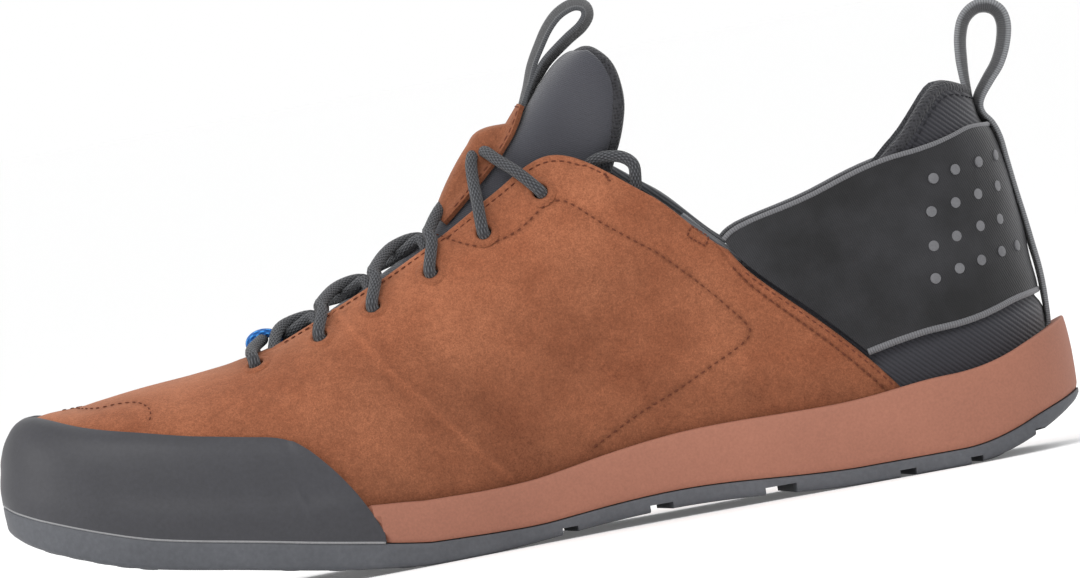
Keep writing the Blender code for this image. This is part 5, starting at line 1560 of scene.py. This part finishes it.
def lace_paths():
    """Centre lines of the two halves of the lace, each woven from eyelet to eyelet up the throat."""
    rise = LACE_RADIUS + 0.5 * MM
    paths = []
    for begin in SIDES:
        side = begin
        x = EYELET_PLACES[0] * LENGTH
        place = float(form_place(x))
        points = [ridge_point(EYELET_PLACES[0] - 0.011, LACE_RADIUS + GAP)]
        points.append(on_form(side * place, top_angle(x) - 4, rise))
        points.append(eyelet(side, EYELET_PLACES[0], 1.9 * MM))
        points.append(eyelet(side, EYELET_PLACES[0], -1.4 * MM))
        inside = form_place((EYELET_PLACES[0] - 0.012) * LENGTH)
        points.append(on_form(side * inside, top_angle(x) - 12, -4.2 * MM))
        for k in range(len(EYELET_PLACES) - 1):
            station, after = EYELET_PLACES[k], EYELET_PLACES[k + 1]
            here = station * LENGTH
            near = side * float(form_place(here))
            if k == 0:
                moved = (station - 0.018) * LENGTH
                near = side * float(form_place(moved))
                turn = top_angle(moved)
                points.append(on_form(near, turn + 0.2 * (90 - turn), -0.5 * MM))
            else:
                turn = top_angle(here)
                points.append(eyelet(side, station, -1.8 * MM))
                points.append(eyelet(side, station, 1.5 * MM))
                shift = side * float(form_place(here - 0.15 * (station - after) * LENGTH))
                if k < len(EYELET_PLACES) - 2:
                    points.append(on_form(shift, turn - 3.5, rise + 0.3 * MM))
                    points.append(on_form(shift, turn + 2, rise + 0.5 * MM))
            far = -side * float(form_place(after * LENGTH + 1.2 * MM))
            far_turn = top_angle(after * LENGTH)
            if k < len(EYELET_PLACES) - 2:
                cross = LACE_CLEAR + (0.75 if side == MEDIAL else -2.2) * MM
                points.append(ridge_point((station + after) / 2, cross))
                points.append(on_form(far, far_turn + 0.5 * (90 - far_turn), -0.6 * MM))
                points.append(on_form(far, far_turn - 7, -WALL - LACE_RADIUS - 0.6 * MM))
            else:
                middle = TONGUE_COUNT // 2
                outward = 1 if TONGUE_FACE[7, -1, 1] * side > 0 else -1
                crossing = []
                for row, column in ((6.75, 2.0), (6.88, 1.1), (6.98, 0), (7.05, -1.1), (7.0, -2.2)):
                    point = grid_at(TONGUE_FACE, row, middle + outward * column)
                    normal = unit(grid_at(TONGUE_NORMALS, row, middle + outward * column))
                    above = np.clip(abs(column) - 0.3, 0, 1) * (OVERLAY_THICKNESS + 3 * GAP)
                    crossed = 2.4 * MM * (1 - abs(column) / 3) if side == MEDIAL else 0.0
                    high = LACE_RADIUS + 0.3 * MM + above + crossed
                    crossing.append(point + normal * high)
                hole = eyelet(-side, after, 1.3 * MM)
                points += [halfway(points[-1], crossing[0], side)] + crossing
                points += [halfway(crossing[-1], hole, -side), hole]
                points.append(eyelet(-side, after, -2.4 * MM))
            side = -side
        paths.append(resampled(smooth_path(points, 6), 0.5 * MM))
    return paths


def make_lace_run():
    """The laced cord, its tucked end and the short blue loop."""
    paths = lace_paths()
    whole = np.concatenate([paths[0][::-1], paths[1][1:]])
    made = tubes("woven_lace", [whole], LACE_RADIUS, "lace", 14)
    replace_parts(made, "lace_1", "lace_2", "lace_3", "lace_4", "lace_bar")
    end = smooth_path([world(x * MM, y * MM, z * MM) for x, y, z in LACE_END], 8)
    end = resampled(end, 0.6 * MM)
    made = tubes("tucked_lace", [end], LACE_RADIUS, "lace", 14)
    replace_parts(made, "lace_end")
    middle = ridge_point(EYELET_PLACES[0] - 0.011, LACE_RADIUS - 0.6 * MM)
    reach = LACE_RADIUS + GAP + ANCHOR_RADIUS
    turn = np.radians(np.linspace(-20, 200, 26))
    arch = np.stack([-np.cos(turn) * (reach + 0.5 * MM), 0 * turn, np.sin(turn) * (reach - 0.9 * MM)], -1)
    made = tubes("blue_loop", [middle + arch, middle + arch * 0.98 + np.array([0, 2.2 * MM, 0])],
                 ANCHOR_RADIUS * 0.9, "blue_lace", 12)
    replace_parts(made, "throat_loop")


RIM_PROFILE = ((2.05, -1.8), (2.05, 0.0), (2.25, 0.32), (2.7, 0.48), (3.3, 0.42), (3.9, 0.2), (4.5, -0.25))


def make_details():
    """Eyelet rims, stitch rows and bar tacks."""
    rims = []
    for side in SIDES:
        for station in EYELET_PLACES:
            centre = eyelet(side, station, 0.0)
            axis = unit(eyelet(side, station, 2 * MM) - centre)
            first = unit(np.cross(axis, (0.2, 0.4, 1.0)))
            other = np.cross(axis, first)
            turns = np.linspace(0, 2 * math.pi, 29)[:-1]
            ring = np.cos(turns)[:, None] * first + np.sin(turns)[:, None] * other
            rims.append(stacked([centre + ring * r * MM + axis * h * MM for r, h in RIM_PROFILE], False))
    vertices, faces, _ = together(rims)
    mesh_object("eyelet_rims", vertices, faces, "suede_rim")
    lines, edges = [], []
    for side in SIDES:
        lines.append(on_skin(DART, side, 0.0))
        lines.append(on_skin(TOE_STITCH, side, 0.05 * MM))
        x, points, normals = skin_grid(side)
        columns, rows = np.arange(SKIN_COLUMNS), np.arange(SKIN_ROWS)
        run, edge = grid_runs(points)
        for away in (1.3, 3.5):
            row_of = np.argmin(np.abs(run - away * MM), 0)
            line = points[row_of, rows] + normals[row_of, rows] * (0.5 if away < 2 else 0.1) * MM
            edges.append(line[2:88])
        pick = np.argmin(np.abs(edge - 2.0 * MM), 1)
        line = points[columns, pick] + normals[columns, pick] * 0.05 * MM
        keep = (x[columns, pick] < 0.73 * LENGTH) & (x[columns, pick] > 115 * MM)
        edges.append(resampled(line[keep], 0.8 * MM))
    stitches("panel_stitches", lines, "thread", 1.2, 1.0, 0.19)
    stitches("edge_stitches", edges, "thread", 1.4, 0.8, 0.21)
    tacks = []
    for side in SIDES:
        box = [(95.4, 76.3), (91.2, 72.6), (92.6, 70.2), (96.9, 73.8), (95.4, 76.3)]
        for (a, b), (c, d) in zip(box, box[1:]):
            t = np.linspace(0, 1, 12)
            tacks.append(spot(a + (c - a) * t, b + (d - b) * t, side, 0.3 * MM))
        for shift in (0, 0.9, 1.8):
            t = np.linspace(0, 1, 8)
            x_mm, z_mm = 115.2 - shift * 0.4 + 2.2 * t, 94.0 - shift + 1.0 * t
            tacks.append(spot(x_mm, z_mm, side, 0.3 * MM))
    stitches("bar_tacks", tacks, "thread", 1.0, 0.35, 0.24)


make_suede_skin()
make_lining()
make_counter()
make_rand_skin()
make_midsole()
make_outsole()
make_band_skin()
make_straps()
make_tongue_skin()
make_patch()
make_lace_run()
make_details()

insole = frame["nodes"]["insole"]
insole.data.materials.clear()
insole.data.materials.append(MATERIALS["insole_cloth"])

# Floor, light and camera
bpy.ops.mesh.primitive_plane_add(size=120)
floor = bpy.context.object
floor.name = "floor"
floor_finish = new_material("floor", (0.88, 0.88, 0.88), 0.85, 0.1)
floor_shader = floor_finish.node_tree.nodes["Principled BSDF"]
floor_shader.inputs["Emission Color"].default_value = (1, 1, 1, 1)
floor_shader.inputs["Emission Strength"].default_value = 0.11
floor.data.materials.append(floor_finish)

sky = bpy.data.worlds.new("studio")
bpy.context.scene.world = sky
sky.use_nodes = True
sky.node_tree.nodes["Background"].inputs[0].default_value = (1.0, 1.0, 1.0, 1)
sky.node_tree.nodes["Background"].inputs[1].default_value = 1.0


def area_light(name, place, aim, size, energy):
    """A square light at place, turned to aim."""
    data = bpy.data.lights.new(name, "AREA")
    data.size, data.energy = size, energy
    made = bpy.data.objects.new(name, data)
    bpy.context.scene.collection.objects.link(made)
    made.location = place
    made.rotation_euler = (Vector(aim) - Vector(place)).to_track_quat("-Z", "Y").to_euler()


area_light("key", (-0.5, -1.1, 1.3), (0, 0, 0.05), 1.0, 10)
area_light("rim", (0.9, 0.9, 1.1), (0, 0, 0.06), 0.8, 5)
area_light("front", (-1.3, -0.3, 0.5), (0, 0, 0.05), 0.6, 4)

# The photograph's view: level with the ground but for a degree, and rolled
CAMERA_ROLL = 10.5
CAMERA_DISTANCE = 4.0
CAMERA_TARGET = (0.00745, -0.03, 0.0675)
FRAME_WIDTH = 0.29311
FRAME_CLOSER = 1.008
FILM_WIDTH = 36
away = Vector((0, -math.cos(math.radians(ELEVATION)), math.sin(math.radians(ELEVATION))))
turn = Matrix.Rotation(math.radians(CAMERA_ROLL), 3, "Y")
away, up = turn @ away, turn @ Vector((0, 0, 1))
lens = bpy.data.cameras.new("camera")
camera = bpy.data.objects.new("camera", lens)
bpy.context.scene.collection.objects.link(camera)
lens.sensor_width = FILM_WIDTH
lens.lens = FILM_WIDTH * CAMERA_DISTANCE / FRAME_WIDTH * FRAME_CLOSER
lens.clip_end = 200
back = away.normalized()
right = up.cross(back).normalized()
pose = Matrix((right, back.cross(right), back)).transposed().to_4x4()
pose.translation = Vector(CAMERA_TARGET) + back * CAMERA_DISTANCE
camera.matrix_world = pose
bpy.context.scene.camera = camera
bpy.context.scene.view_settings.view_transform = "Standard"
